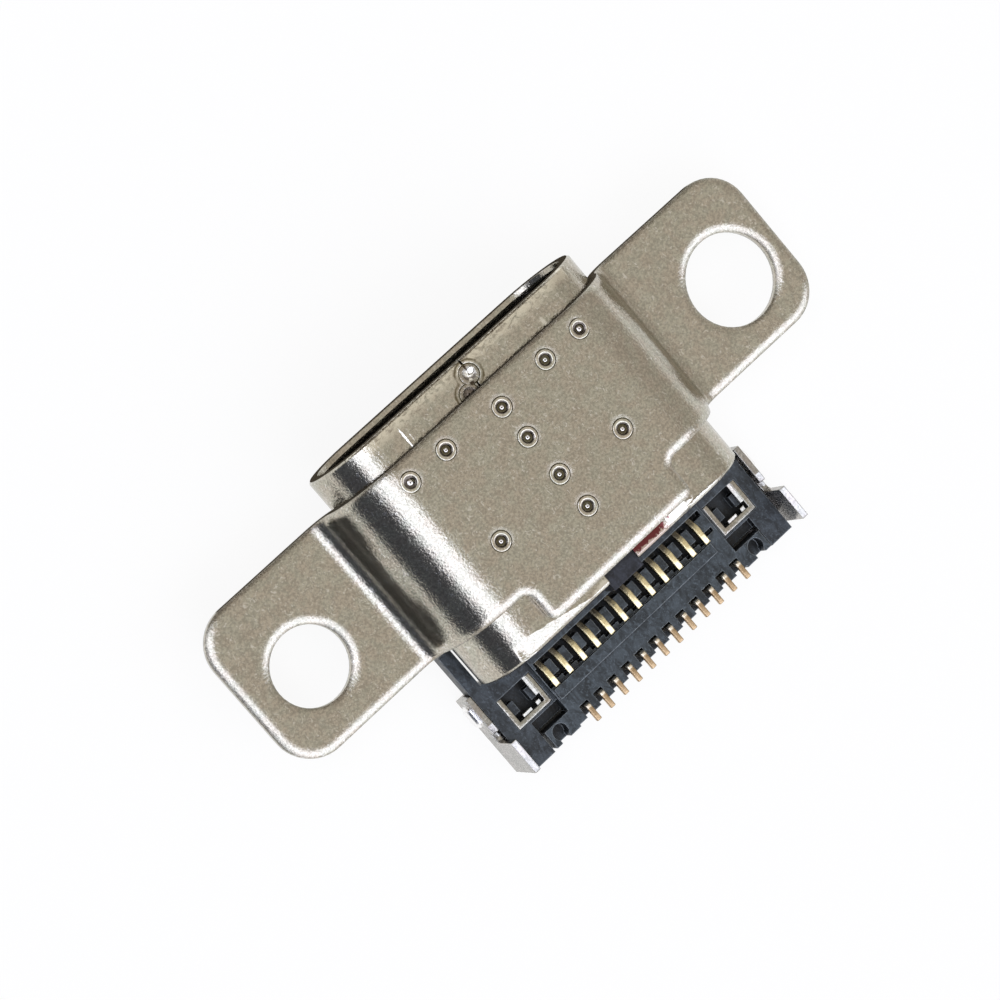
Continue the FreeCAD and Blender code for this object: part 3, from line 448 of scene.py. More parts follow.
# %% Slit, splash and heat ring
SHELL_TOP_MM = 3.16
SPOT_HALF_HEIGHT_MM = 0.5
SHELL_WELDS_MM = ((-0.06, -2.98), (0.26, -2.59))
RING_OUTSIDE, RING_INSIDE = (0.40, 0.05), (0.345, 0.07)
RING_RAGGED = 0.1
RING_WORN_MM, RING_WORN_STEP, RING_FAINTEST = 0.3, (0.35, 0.6), 0.35
SLIT_SPOTS = (((-0.078, -3.26), (0.034, 0.20), 0.4, 0.25),
              ((0.03, -2.76), (0.06, 0.05), 0.4, 0.6))
SPLASH_SPOTS = (((-0.09, -3.01), (0.14, 0.11), 0.3, 0.5),
                ((0.00, -2.84), (0.045, 0.05), 0.3, 0.3))


def any_of(tree, masks):
    """The strongest of several masks."""
    total = masks[0]
    for mask in masks[1:]:
        total = sums(tree, "MAXIMUM", total, mask)
    return total


def top_spot(tree, places, centre, half, soft=0.4, ragged=0.9):
    """Spot on the shell's top face, from its centre and half sizes along x and y."""
    return spot(tree, places, (*centre, SHELL_TOP_MM), (*half, SPOT_HALF_HEIGHT_MM), soft, ragged)


def spots_mask(rows):
    """Mask maker for spots on the top face: (centre, half sizes, soft, ragged) in each row."""
    def mask(tree, places):
        return any_of(tree, [top_spot(tree, places, *row) for row in rows])
    return mask


def weld_discs(tree, places, radius_mm, soft):
    return any_of(tree, [top_spot(tree, places, centre, (radius_mm, radius_mm), soft,
                                  RING_RAGGED)
                         for centre in SHELL_WELDS_MM])


def heat_ring(tree, places):
    """Thin brown line round both seam welds, like a figure eight."""
    line = sums(tree, "SUBTRACT", weld_discs(tree, places, *RING_OUTSIDE),
                weld_discs(tree, places, *RING_INSIDE))
    worn = fade(tree, noise(tree, places, RING_WORN_MM), *RING_WORN_STEP, RING_FAINTEST, 1.0)
    return sums(tree, "MULTIPLY", line, worn)


seam_slit = spots_mask(SLIT_SPOTS)
weld_splash = spots_mask(SPLASH_SPOTS)
print("heat ring from", RING_INSIDE[0], "to", RING_OUTSIDE[0], "mm round", len(SHELL_WELDS_MM),
      "welds")

# %% [markdown]
# ## Stain, rubbed patches and painted highlights
# The shell's rear strip, behind the cover's flap, has a dark red stain with a pale border, and
# bright patches, painted highlights where the sheet catches the rear white panel. Two thin
# scratches and a rubbed patch lie by the mouth. Some of these patches are small dents as well,
# which lean enough to catch the white panel or the white strip. So each row also gives the
# patch's slopes along x and y.

# %% Stain, rubbed and highlight patches, and their slopes
STAIN_SPOTS = (((-0.84, 3.08), (0.60, 0.15), 0.10, 1.0),)
BORDER_SPOTS = (((-0.95, 3.24), (0.62, 0.14), 0.25, 0.5),)
# Rows: centre, half sizes and slopes along x and y. The pale colour on the rows behind the flap, at
# y over 3 mm, is a painted highlight; on the rows by the mouth it is wear.
PATCHES = (((2.24, -2.86), (0.030, 0.26), (-0.24, 0.0)),
           ((2.10, -2.78), (0.016, 0.12), (-0.18, 0.0)),
           ((-2.41, -2.68), (0.06, 0.15), (0.0, 0.0)),
           ((-1.88, 3.19), (0.40, 0.25), (0.0, -0.30)),
           ((-2.65, 3.30), (0.70, 0.07), (0.0, -0.28)),
           ((-0.13, -3.03), (0.09, 0.07), (0.0, -0.28)),
           ((0.75, 3.25), (0.36, 0.10), (0.0, 0.0)))
DENT_SPREAD, DENT_SOFT, DENT_RAGGED = 1.15, 0.2, 0.6


# Pale patches: wear by the mouth, painted highlight behind the flap.
def rubs_and_painted_highlights(tree, places):
    return any_of(tree, [top_spot(tree, places, centre, half) for centre, half, slopes in PATCHES])


def leaning_patches(tree, places):
    """Height in metres: each patch with slopes falls along them, inside a slightly larger spot."""
    total = 0.0
    for (x_mm, y_mm), half, (slope_x, slope_y) in PATCHES:
        if slope_x or slope_y:
            fall = sums(tree, "ADD",
                        sums(tree, "MULTIPLY", beyond(tree, places, "X", x_mm), slope_x),
                        sums(tree, "MULTIPLY", beyond(tree, places, "Y", y_mm), slope_y))
            dent = [size * DENT_SPREAD for size in half]
            here = top_spot(tree, places, (x_mm, y_mm), dent, DENT_SOFT, DENT_RAGGED)
            total = sums(tree, "ADD", sums(tree, "MULTIPLY", fall, here), total)
    return total


red_stain = spots_mask(STAIN_SPOTS)
stain_border = spots_mask(BORDER_SPOTS)
print("rubbed patches", len(PATCHES), "of which lean", sum(any(row[2]) for row in PATCHES))

# %% [markdown]
# ## The mouth and the cut ends
# The near lip of the mouth is worn to a cream colour. Inside, the tube is painted dark, a painted
# shade, apart from its first tenth of a millimetre. The blanked ends of the sheets were cut after
# plating in one stroke, so they are rougher; they are also painted dark brown, a painted shade.
# None of these is a spot: each is a step along an axis, or round the tube's own section, which is
# a flat oval.

# %% Inside, lip and cut ends
SHELL_FRONT_MM = -3.43
TUBE_FLAT_MM = 2.89
TUBE_INNER_MM = 1.285
TUBE_WALL_STEP_MM = 0.02
DARK_BEHIND_MM = (0.12, 0.22)
LIP_WEAR_Y_MM, LIP_WEAR_Z_MM = (-3.34, -2.95), (2.88, 2.92)
LIP_FLECK_MM, LIP_FLECK_STEP = 0.16, (0.38, 0.56)
CUT_DEPTH_MM = (0.002, 0.010)


def painted_tube_shade(tree, places):
    """Painted shade: 1 inside the mouth, past the first tenth of a millimetre; 0 on the shell's
    outside.
    """
    width = sums(tree, "ABSOLUTE", axis_of(tree, places, "X"))
    across = sums(tree, "MAXIMUM", sums(tree, "SUBTRACT", width, TUBE_FLAT_MM * MM), 0.0)
    up = sums(tree, "ABSOLUTE", beyond(tree, places, "Z", SHELL_TOP_MM / 2))
    squares = sums(tree, "ADD", sums(tree, "POWER", across, 2.0), sums(tree, "POWER", up, 2.0))
    wall = (TUBE_INNER_MM * MM, (TUBE_INNER_MM + TUBE_WALL_STEP_MM) * MM)
    inner = fade(tree, sums(tree, "SQRT", squares), *wall, 1.0, 0.0)
    span_mm = [SHELL_FRONT_MM + behind for behind in DARK_BEHIND_MM]
    return sums(tree, "MULTIPLY", inner, step_along(tree, places, "Y", span_mm))


def lip_wear(tree, places):
    """Cream flecks along the mouth's near lip, fewer further from it."""
    near = sums(tree, "MULTIPLY", step_along(tree, places, "Y", LIP_WEAR_Y_MM, 1.0, 0.0),
                step_along(tree, places, "Z", LIP_WEAR_Z_MM))
    flecks = noise(tree, places, LIP_FLECK_MM, rough=0.65, stretch=(0.7, 1, 1), twist=0.8)
    return sums(tree, "MULTIPLY", near, fade(tree, flecks, *LIP_FLECK_STEP))


def cut_end(front_mm):
    """Mask maker for the blanked front end of a sheet, which is rougher and gets a painted shade.
    """
    def mask(tree, places):
        span_mm = [front_mm + behind for behind in CUT_DEPTH_MM]
        return step_along(tree, places, "Y", span_mm, 1.0, 0.0)
    return mask


print("the tube is dark from", DARK_BEHIND_MM[0], "mm behind the mouth")

# %% [markdown]
# ## Pressed rim and rolled lip
# Behind the flap the shell's rear rim was pressed down a little on one side, where the housing
# went in. Its pressed part tips back and catches the white panel. The far lip of the mouth is
# rolled outwards, so that it shows light before the dark. They turn by 11 to 15 degrees over a
# few tenths of a millimetre, too little to show from the side. They could be bent in the mesh,
# but a height that falls evenly tips them in the shading and leaves the solid as it is.

# %% Relief of the shell
SHELL_REAR_MM = 3.34
RIM_SLOPE = 0.27
RIM_START_X_MM = 0.9
RIM_WIDENS = 0.21
RIM_WAVE_MM, RIM_WAVE_HEIGHT_MM = 0.35, 0.14
UPPER_FACE_MM = (2.95, 3.10)
LIP_SLOPE = 0.20
LIP_ROLL_MM = 0.14
LOWER_HALF_MM = (1.0, 1.5)


def pressed_rim(tree, places):
    """Height in metres: falls behind a line that comes forward as x grows."""
    widened = sums(tree, "MULTIPLY", beyond(tree, places, "X", RIM_START_X_MM), RIM_WIDENS)
    behind = sums(tree, "ADD", beyond(tree, places, "Y", SHELL_REAR_MM), widened)
    uneven = sums(tree, "SUBTRACT", noise(tree, places, RIM_WAVE_MM), 0.5)
    behind = sums(tree, "ADD", behind, sums(tree, "MULTIPLY", uneven, RIM_WAVE_HEIGHT_MM * MM))
    fall = sums(tree, "MULTIPLY", sums(tree, "MAXIMUM", behind, 0.0), -RIM_SLOPE)
    return sums(tree, "MULTIPLY", fall, step_along(tree, places, "Z", UPPER_FACE_MM))


def rolled_lip(tree, places):
    """Height in metres: the far lip rises from its edge inwards."""
    from_edge = sums(tree, "MINIMUM", beyond(tree, places, "Y", SHELL_FRONT_MM), LIP_ROLL_MM * MM)
    rise = sums(tree, "MULTIPLY", from_edge, LIP_SLOPE)
    return sums(tree, "MULTIPLY", rise, step_along(tree, places, "Z", LOWER_HALF_MM, 1.0, 0.0))


def shell_relief(tree, places):
    edges = sums(tree, "ADD", pressed_rim(tree, places), rolled_lip(tree, places))
    return sums(tree, "ADD", edges, leaning_patches(tree, places))


print("pressed rim leans", round(math.degrees(math.atan(RIM_SLOPE)), 1), "degrees")

# %% [markdown]
# ## Shell and cover
# Both sheets take the same plating. The shell adds its marks one over another, the lowest first,
# and its relief. The cover is cleaner: its bends and its ears' edges are softer, so its edges
# are rounded four times as far in the shading, and only its cut front end is bare, rougher and
# painted dark, a painted shade.

# %% Finishes of shell and cover
NICKEL, NICKEL_ROUGH, NICKEL_BUMP_MM = (0.496, 0.469, 0.398), 0.155, 0.008
HEAT_BROWN = (0.13, 0.105, 0.055)
SLIT_BROWN = (0.035, 0.022, 0.010)
STAIN_RED = (0.15, 0.022, 0.028)
STAIN_BORDER = (0.66, 0.54, 0.49)
# Pale tone of rubbed wear and of the weld splash, also laid on as a painted highlight on patches
# and edges.
PALE_RUB_AND_HIGHLIGHT = (0.90, 0.88, 0.80)
LIP_CREAM = (0.90, 0.86, 0.73)
# Painted shade on the cut front ends of shell and cover.
CUT_END_PAINTED_SHADE = (0.085, 0.072, 0.052)
# Painted shade inside the mouth's tube.
TUBE_PAINTED_SHADE = (0.040, 0.036, 0.032)
COVER_FRONT_MM = -2.58
SHELL_EDGE_MM, COVER_EDGE_MM = 0.05, 0.19
SHELL_MARKS = (
    (lip_wear, LIP_CREAM, 0.85),
    (rubs_and_painted_highlights, PALE_RUB_AND_HIGHLIGHT, 0.7),
    (stain_border, STAIN_BORDER, 0.8),
    (red_stain, STAIN_RED, 0.95),
    (painted_tube_shade, TUBE_PAINTED_SHADE, 0.95),
    (heat_ring, HEAT_BROWN, 0.9),
    (weld_splash, PALE_RUB_AND_HIGHLIGHT, 0.9),
    (seam_slit, SLIT_BROWN, 0.95),
    (cut_end(SHELL_FRONT_MM), CUT_END_PAINTED_SHADE, 0.9),
)

shell_steel = plated_steel("shell_nickel_plate", NICKEL, NICKEL_ROUGH, bump_mm=NICKEL_BUMP_MM,
                           round_mm=SHELL_EDGE_MM, marks=SHELL_MARKS, relief=shell_relief,
                           dull=cut_end(SHELL_FRONT_MM))
cover_steel = plated_steel("cover_nickel_plate", NICKEL, NICKEL_ROUGH, bump_mm=NICKEL_BUMP_MM,
                           round_mm=COVER_EDGE_MM, dull=cut_end(COVER_FRONT_MM),
                           marks=((cut_end(COVER_FRONT_MM), CUT_END_PAINTED_SHADE, 0.8),))
print("nickel colour", NICKEL, "with", len(SHELL_MARKS), "marks on the shell")

# %% [markdown]
# ## Small sheet parts
# The shield's side walls each carry an embossed dimple, painted white as a highlight, and the
# top edge of its solder legs has a burr that leans back. Its edges and the frames' edges are
# painted lighter, a painted highlight. The frames, the middle plate and the ground pads are the
# same kind of sheet in other tones, so they share the plated finish with other values.

# %% Finishes of the small sheet parts
DIMPLE_Y_MM, DIMPLE_Z_MM = 3.92, 0.50
DIMPLE_HALF_MM, ANY_X_MM = (0.36, 0.34), 1000
DIMPLE_SOFT, DIMPLE_RAGGED = 0.1, 0.1
DIMPLE_HIGHLIGHT_WHITE = (0.99, 0.98, 0.97)
LEG_START_Y_MM = 4.3
BURR_SLOPE = 0.30
CUT_EDGE_MM = 0.03
SHIELD_EDGE_MM, FRAME_EDGE_MM = 0.05, 0.03
SHIELD_GREY = (0.42, 0.405, 0.38)
FRAME_GREY = (0.42, 0.405, 0.36)
STAINLESS = (0.50, 0.49, 0.47)


def dimple_painted_highlight(tree, places):
    """Painted highlight on the dimples of both side walls, wherever x is."""
    return spot(tree, places, (0, DIMPLE_Y_MM, DIMPLE_Z_MM), (ANY_X_MM, *DIMPLE_HALF_MM),
                DIMPLE_SOFT, DIMPLE_RAGGED)


def burr_of_leg(tree, places):
    """Height in metres: the shield's legs lean back from their start."""
    behind = sums(tree, "MAXIMUM", beyond(tree, places, "Y", LEG_START_Y_MM), 0.0)
    return sums(tree, "MULTIPLY", behind, -BURR_SLOPE)


# Painted highlight: the shield's and the frames' edges are lightened.
def painted_edge_highlight(tree, places):
    return corner_mask(tree, CUT_EDGE_MM)[0]


shield_steel = plated_steel("shield_nickel_plate", SHIELD_GREY, 0.24, round_mm=SHIELD_EDGE_MM,
                            marks=((painted_edge_highlight, PALE_RUB_AND_HIGHLIGHT, 0.6), (dimple_painted_highlight, DIMPLE_HIGHLIGHT_WHITE, 1.0)),
                            relief=burr_of_leg)
frame_steel = plated_steel("frame_satin_plate", FRAME_GREY, 0.22, round_mm=FRAME_EDGE_MM,
                           marks=((painted_edge_highlight, PALE_RUB_AND_HIGHLIGHT, 0.7),))
plate_steel = plated_steel("plain_stainless", STAINLESS, 0.26)
print("small sheet finishes", shield_steel.name, frame_steel.name, plate_steel.name)

# %% [markdown]
# ## Gold plate on the contacts
# Each contact is a spring strip plated in gold. The rear row is a darker, browner gold, worn
# satin, and up to its bend it is painted nearly white, a painted highlight; the front row's ends
# are bright. The tails were cut from their carrier strip. The front row's first half is painted
# a greyer, darker gold, a painted shade. A soft step along the tail changes the colour, and the
# part of each tail that shows a white glint leans back a few degrees, so that it catches the
# white panel: the flattened end in the front row, the bend in the rear row.

# %% Gold finishes
# The first colour is a painted shade on the front tails' first half; the fourth is a painted
# highlight at the rear tails' bend.
GOLD_SHADED_GREY = (0.30, 0.265, 0.19)
GOLD_BRIGHT = (1.0, 0.88, 0.55)
GOLD_BROWN = (0.52, 0.38, 0.23)
GOLD_BEND_HIGHLIGHT = (0.98, 0.90, 0.74)
GOLD_GRAIN_MM, GOLD_GRAIN_TINT = 0.07, (0.82, 0.80, 0.76)
GOLD_WEAR_MM, GOLD_WEAR_RANGE = 0.2, (0.75, 1.3)
GOLD_PEEL_MM, GOLD_PEEL_HEIGHT_MM = 0.06, 0.003
TAIL_SLOPE = 0.17
TAIL_EDGE_MM = 0.055
FRONT_CHANGE_MM, FRONT_LEAN_MM = (4.05, 4.25), (4.33, 5.2)
REAR_BEND_MM = 5.61
REAR_CHANGE_MM = (REAR_BEND_MM + 0.08, REAR_BEND_MM + 0.17)
REAR_LEAN_MM = (REAR_BEND_MM - 0.3, REAR_BEND_MM + 0.12)


def gold_plate(name, near_colour, far_colour, change_mm, lean_mm, rough):
    """Gold from near_colour to far_colour along the tail, leaning back between lean_mm."""
    finish, tree, shader = empty_finish(name)
    places = part_places(tree)
    tone = mixed(tree, step_along(tree, places, "Y", change_mm), near_colour, far_colour)
    fine = fade(tree, noise(tree, places, GOLD_GRAIN_MM), *WEAR_STEP)
    tone = mixed(tree, 1.0, tone, mixed(tree, fine, GOLD_GRAIN_TINT, PLAIN_WHITE), "MULTIPLY")
    feed(shader.inputs["Base Color"], tone)
    shader.inputs["Metallic"].default_value = 1.0
    worn = noise(tree, places, GOLD_WEAR_MM)
    smooth_to_worn = [rough * part for part in GOLD_WEAR_RANGE]
    feed(shader.inputs["Roughness"], fade(tree, worn, *WEAR_STEP, *smooth_to_worn))
    within = sums(tree, "MAXIMUM", axis_of(tree, places, "Y"), lean_mm[0] * MM)
    within = sums(tree, "MINIMUM", within, lean_mm[1] * MM)
    leaning = tipped(tree, sums(tree, "MULTIPLY", within, -TAIL_SLOPE),
                     rounded_normal(tree, TAIL_EDGE_MM))
    peel = noise(tree, places, GOLD_PEEL_MM)
    feed(shader.inputs["Normal"], bumped(tree, peel, GOLD_PEEL_HEIGHT_MM, leaning))
    return finish


# Front row: darker grey gold as painted shade on the first half. Rear row: near-white gold as a
# painted highlight up to the bend.
front_gold = gold_plate("front_tail_gold", GOLD_SHADED_GREY, GOLD_BRIGHT, FRONT_CHANGE_MM,
                        FRONT_LEAN_MM, 0.24)
rear_gold = gold_plate("rear_tail_gold", GOLD_BEND_HIGHLIGHT, GOLD_BROWN, REAR_CHANGE_MM,
                       REAR_LEAN_MM, 0.30)
print("tails lean", round(math.degrees(math.atan(TAIL_SLOPE)), 1), "degrees")

# %% [markdown]
# ## Moulded plastic
# The housing and the ribbed insert are a dark blue-grey glass-filled plastic. It has a fine,
# matt grain from the mould, cloudy streaks where the melt flowed, short pale fibres, and corners
# that are slightly rounded and rubbed; the corner mask paints them lighter, partly wear and partly
# a painted highlight. Its slots are deep for their width. The Ambient Occlusion node tells how
# shut in a point is, and the colour is darkened there, a painted shade.

# %% Plastic finishes
FLOW_MM, FLOW_STEP, FLOW_TONES = 0.30, (0.36, 0.64), (0.55, 1.60)
FIBRE_MM, FIBRE_STEP, FIBRE_STRENGTH, FIBRE_TONE = 0.07, (0.52, 0.68), 0.6, 3.0
HOLLOW_REACH_MM, HOLLOW_SAMPLES = 0.55, 6
HOLLOW_STEP, HOLLOW_SHADE = (0.20, 0.85), 0.06
CORNER_ROUND_MM = 0.045
CORNER_WORN_MM, CORNER_WORN_STEP, CORNER_FAINTEST = 0.25, (0.3, 0.6), 0.35
PLASTIC_SHINE = 0.38
PLASTIC_WEAR_STEP, PLASTIC_WEAR_RANGE = (0.2, 0.8), (0.85, 1.15)
PLASTIC_PEEL_MM, PLASTIC_PEEL_HEIGHT_MM = 0.08, 0.010


def hollow_painted_shade(tree):
    """Painted shade: white in the open, nearly black deep in a slot or pit."""
    hollow = tree.nodes.new("ShaderNodeAmbientOcclusion")
    hollow.samples = HOLLOW_SAMPLES
    hollow.inputs["Distance"].default_value = HOLLOW_REACH_MM * MM
    openness = fade(tree, hollow.outputs["AO"], *HOLLOW_STEP, HOLLOW_SHADE, 1.0)
    grey = tree.nodes.new("ShaderNodeCombineXYZ")
    for socket in grey.inputs:
        feed(socket, openness)
    return grey.outputs["Vector"]


def moulded_plastic(name, colour, edge_highlight_colour, rough):
    """Dark glass-filled moulding with lighter corners: rubbed wear and a painted highlight."""
    finish, tree, shader = empty_finish(name)
    places = part_places(tree)
    flow = noise(tree, places, FLOW_MM, detail=5.0, rough=0.72, stretch=(1, 0.6, 1), turn=20,
                 twist=0.8)
    flow = fade(tree, flow, *FLOW_STEP)
    tone = mixed(tree, flow, *(shade_of(colour, factor) for factor in FLOW_TONES))
    fibres = noise(tree, places, FIBRE_MM, stretch=(1, 0.7, 1), turn=30, twist=1.0)
    fibres = sums(tree, "MULTIPLY", fade(tree, fibres, *FIBRE_STEP), FIBRE_STRENGTH)
    tone = mixed(tree, fibres, tone, shade_of(colour, FIBRE_TONE))
    # Painted shade: the colour is darkened in slots and pits.
    tone = mixed(tree, 1.0, tone, hollow_painted_shade(tree), "MULTIPLY")
    # Painted highlight, with some wear: corners are lightened towards the edge colour, patchily.
    corners, rounded = corner_mask(tree, CORNER_ROUND_MM)
    worn = noise(tree, places, CORNER_WORN_MM)
    worn = fade(tree, worn, *CORNER_WORN_STEP, CORNER_FAINTEST, 1.0)
    rubbed = sums(tree, "MULTIPLY", corners, worn)
    feed(shader.inputs["Base Color"], mixed(tree, rubbed, tone, edge_highlight_colour))
    shader.inputs["Specular IOR Level"].default_value = PLASTIC_SHINE
    smooth_to_matt = [rough * part for part in PLASTIC_WEAR_RANGE]
    feed(shader.inputs["Roughness"], fade(tree, flow, *PLASTIC_WEAR_STEP, *smooth_to_matt))
    peel = noise(tree, places, PLASTIC_PEEL_MM)
    feed(shader.inputs["Normal"], bumped(tree, peel, PLASTIC_PEEL_HEIGHT_MM, rounded))
    return finish


# Each plastic: its dark colour, and the lighter colour painted on its corners, partly wear and
# partly a painted highlight.
HOUSING_DARK, HOUSING_EDGE_HIGHLIGHT = (0.034, 0.041, 0.047), (0.30, 0.33, 0.34)
INSERT_DARK, INSERT_EDGE_HIGHLIGHT = (0.037, 0.046, 0.052), (0.34, 0.37, 0.38)
TONGUE_DARK, TONGUE_EDGE_HIGHLIGHT = (0.016, 0.018, 0.024), (0.06, 0.06, 0.07)
housing_plastic = moulded_plastic("housing_blue_grey", HOUSING_DARK, HOUSING_EDGE_HIGHLIGHT, 0.42)
insert_plastic = moulded_plastic("insert_blue_grey", INSERT_DARK, INSERT_EDGE_HIGHLIGHT, 0.40)
tongue_plastic = moulded_plastic("tongue_black", TONGUE_DARK, TONGUE_EDGE_HIGHLIGHT, 0.36)
print("plastics", housing_plastic.name, insert_plastic.name, tongue_plastic.name)

# %% [markdown]
# ## Dress the solid pieces
# Each solid keeps its shape and place, and its material slot takes the finish made for it. The
# contacts aren't in the list: their node names tell the two rows apart.

# %% Give each solid its finish
FINISHES = {
    "inner_shell": shell_steel,
    "outer_cover": cover_steel,
    "rear_shield": shield_steel,
    "left_ground_frame": frame_steel,
    "right_ground_frame": frame_steel,
    "mid_plate": plate_steel,
    "upper_ground_pad": plate_steel,
    "lower_ground_pad": plate_steel,
    "housing": housing_plastic,
    "tail_insert": insert_plastic,
    "tongue": tongue_plastic,
}


def dress(piece, finish):
    piece.data.materials.clear()
    piece.data.materials.append(finish)


for node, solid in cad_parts.items():
    row_gold = front_gold if node.startswith("lower_contact") else rear_gold
    dress(solid, FINISHES.get(node, row_gold))
print("solids dressed", len(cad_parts))

# %% [markdown]
# ## Contacts and frames with rounded edges
# A blanked strip has small round edges from the die, and its cut end is dressed to a round tip.
# The solids have plain edges. So each contact and each frame gets a copy whose coplanar facets
# are joined again and whose edges are then rounded with the bevel tool, and the copy replaces
# its solid. Weighted normals keep the flats flat between the rounds.

# %% Round the edges of thin strips
STRIP_ROUND_MM = 0.022
ROUND_SEGMENTS = 2
SAME_POINT_MM = 0.0005
SAME_PLANE_DEG, SHARP_DEG = 1.0, 35
FLAT_WEIGHT = 100


def rounded_copy(node):
    """Copy of a solid with rounded edges, in that solid's place and finish."""
    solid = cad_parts[node]
    piece = placed(node + "_rounded", solid.data.copy())
    work = bmesh.new()
    work.from_mesh(piece.data)
    bmesh.ops.remove_doubles(work, verts=work.verts, dist=SAME_POINT_MM * MM)
    bmesh.ops.dissolve_limit(work, angle_limit=math.radians(SAME_PLANE_DEG), verts=work.verts,
                             edges=work.edges)
    sharp = [edge for edge in work.edges
             if edge.is_manifold and edge.calc_face_angle(0.0) > math.radians(SHARP_DEG)]
    bmesh.ops.bevel(work, geom=sharp, offset=STRIP_ROUND_MM * MM, offset_type="OFFSET",
                    segments=ROUND_SEGMENTS, profile=0.5, affect="EDGES", clamp_overlap=True)
    for face in work.faces:
        face.smooth = True
    work.to_mesh(piece.data)
    work.free()
    dress(piece, solid.data.materials[0])
    weighted = piece.modifiers.new("flat_faces_stay_flat", "WEIGHTED_NORMAL")
    weighted.weight = FLAT_WEIGHT
    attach(piece, "root")
    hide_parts(node)


for start, slot in (("lower_contact", "front_contact_gold"), ("upper_contact", "rear_contact_gold"),
                    ("left_ground_frame", "frame_metal"), ("right_ground_frame", "frame_metal")):
    for node in sorted(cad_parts):
        if node.startswith(start):
            rounded_copy(node)

# %% [markdown]
# ## Bright slivers in the frames
# Inside each ground frame three small turned edges catch the white panels: the rolled inner edge
# of one side, and two bent tabs at the rear. They are too small to bend from the frame's own
# sheet here, so each is a little block set against its wall, and its top slopes.

# %% Turned edges of the frames
SLIVER_TOP_MM = 0.695
SLIVER_DEPTH_MM = 0.14
FRAME_SLIVERS_MM = (("left_frame_rolled_edge", (3.32, 3.42), (4.02, 4.60), (0.031, 0.0)),
                    ("left_frame_tab", (3.72, 4.02), (4.73, 4.84), (0.0, 0.034)),
                    ("left_frame_corner_tab", (3.42, 3.55), (4.71, 4.84), (0.0, 0.030)),
                    ("right_frame_rolled_edge", (-4.20, -4.10), (4.02, 4.62), (0.040, 0.0)),
                    ("right_frame_tab", (-3.80, -3.50), (4.73, 4.84), (0.0, 0.034)),
                    ("right_frame_corner_tab", (-4.10, -3.97), (4.71, 4.84), (0.0, 0.030)))


def sloped_block(name, x_mm, y_mm, drop_mm):
    """Block whose top falls by drop_mm along x and along y."""
    corners = []
    for at_top in (0, 1):
        for across, along in ((0, 0), (1, 0), (1, 1), (0, 1)):
            drop = across * drop_mm[0] + along * drop_mm[1] if at_top else SLIVER_DEPTH_MM
            z_mm = SLIVER_TOP_MM - drop
            corners.append((x_mm[across] * MM, y_mm[along] * MM, z_mm * MM))
    sides = [(k, (k + 1) % 4, (k + 1) % 4 + 4, k + 4) for k in range(4)]
    mesh = bpy.data.meshes.new(name)
    mesh.from_pydata(corners, [], [(3, 2, 1, 0), (4, 5, 6, 7)] + sides)
    mesh.materials.append(frame_steel)
    piece = placed(name, mesh)
    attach(piece, "root")


for sliver in FRAME_SLIVERS_MM:
    sloped_block(*sliver)
print("frame slivers", len(FRAME_SLIVERS_MM))

# %% [markdown]
# ## Spot weld beads
# Ten spot welds hold the cover to the shell and two close the shell's seam. A laser melts a
# small round pool: it stands up as a raised ring and sinks to a bowl with a pip. The solids have a
# groove and a pit at each place. A bump in the material would look flat from the side, so a lathe
# profile, turned once round, lies over them and gives the pool its real round section. Three radii
# tell where the ring, the bowl and the pip start.

# %% Bead profile
BEAD_PROFILE_MM = ((0.306, -0.010), (0.284, -0.015), (0.264, -0.008), (0.256, 0.001),
                   (0.244, 0.005), (0.226, 0.007), (0.206, 0.007), (0.190, 0.004),
                   (0.178, -0.002), (0.166, -0.012), (0.148, -0.024), (0.122, -0.033),
                   (0.092, -0.037), (0.068, -0.035), (0.054, -0.027), (0.036, -0.020),
                   (0.016, -0.017))
BEAD_UNDER_MM = ((0.016, -0.044), (0.306, -0.030))
RIM_STARTS_MM, BOWL_STARTS_MM, PIP_STARTS_MM = 0.258, 0.172, 0.062
FINISH_STARTS_MM = (RIM_STARTS_MM, BOWL_STARTS_MM, PIP_STARTS_MM)
BEAD_SEGMENTS = 48
print("points across a bead", len(BEAD_PROFILE_MM))

# %% [markdown]
# The groove round each pool is coloured brown and the ring a lighter tone; the bowl is painted
# dark, a painted shade, and the pip nearly white, a painted highlight. All have a finer grain
# than the sheet, because the metal melted. The two seam welds are duller and rougher, their bowls
# painted dark as shade, and the slit and the splash run over them.

# %% Bead finishes
BEAD_GRAIN_MM, BEAD_EDGE_MM = 0.05, 0.01
SEAM_BUMP_MM, SEAM_EDGE_MM = 0.010, 0.02
SEAM_MARKS = ((weld_splash, PALE_RUB_AND_HIGHLIGHT, 0.95), (seam_slit, SLIT_BROWN, 0.95))


def bead_steel(name, colour, rough, bump_mm=0.002):
    """Plating melted smooth by the laser."""
    return plated_steel(name, colour, rough, BEAD_GRAIN_MM, bump_mm, BEAD_EDGE_MM)


def seam_steel(name, colour, rough):
    """The same, left rough, with the seam's marks and dents."""
    return plated_steel(name, colour, rough, BEAD_GRAIN_MM, SEAM_BUMP_MM, SEAM_EDGE_MM,
                        SEAM_MARKS, leaning_patches)


bead_rim = bead_steel("weld_ring_bright", (0.60, 0.57, 0.48), 0.22)
bead_groove = bead_steel("weld_groove_brown", (0.105, 0.092, 0.055), 0.34)
# Painted shade: the bowl is coloured dark.
bead_bowl = bead_steel("weld_bowl_painted_shade", (0.125, 0.108, 0.092), 0.28, 0.003)
# Painted highlight: the pip is coloured nearly white.
bead_pip = bead_steel("weld_pip_painted_highlight", (0.74, 0.72, 0.68), 0.18, 0.001)
seam_rim = seam_steel("seam_weld_ring_dull", (0.36, 0.33, 0.27), 0.28)
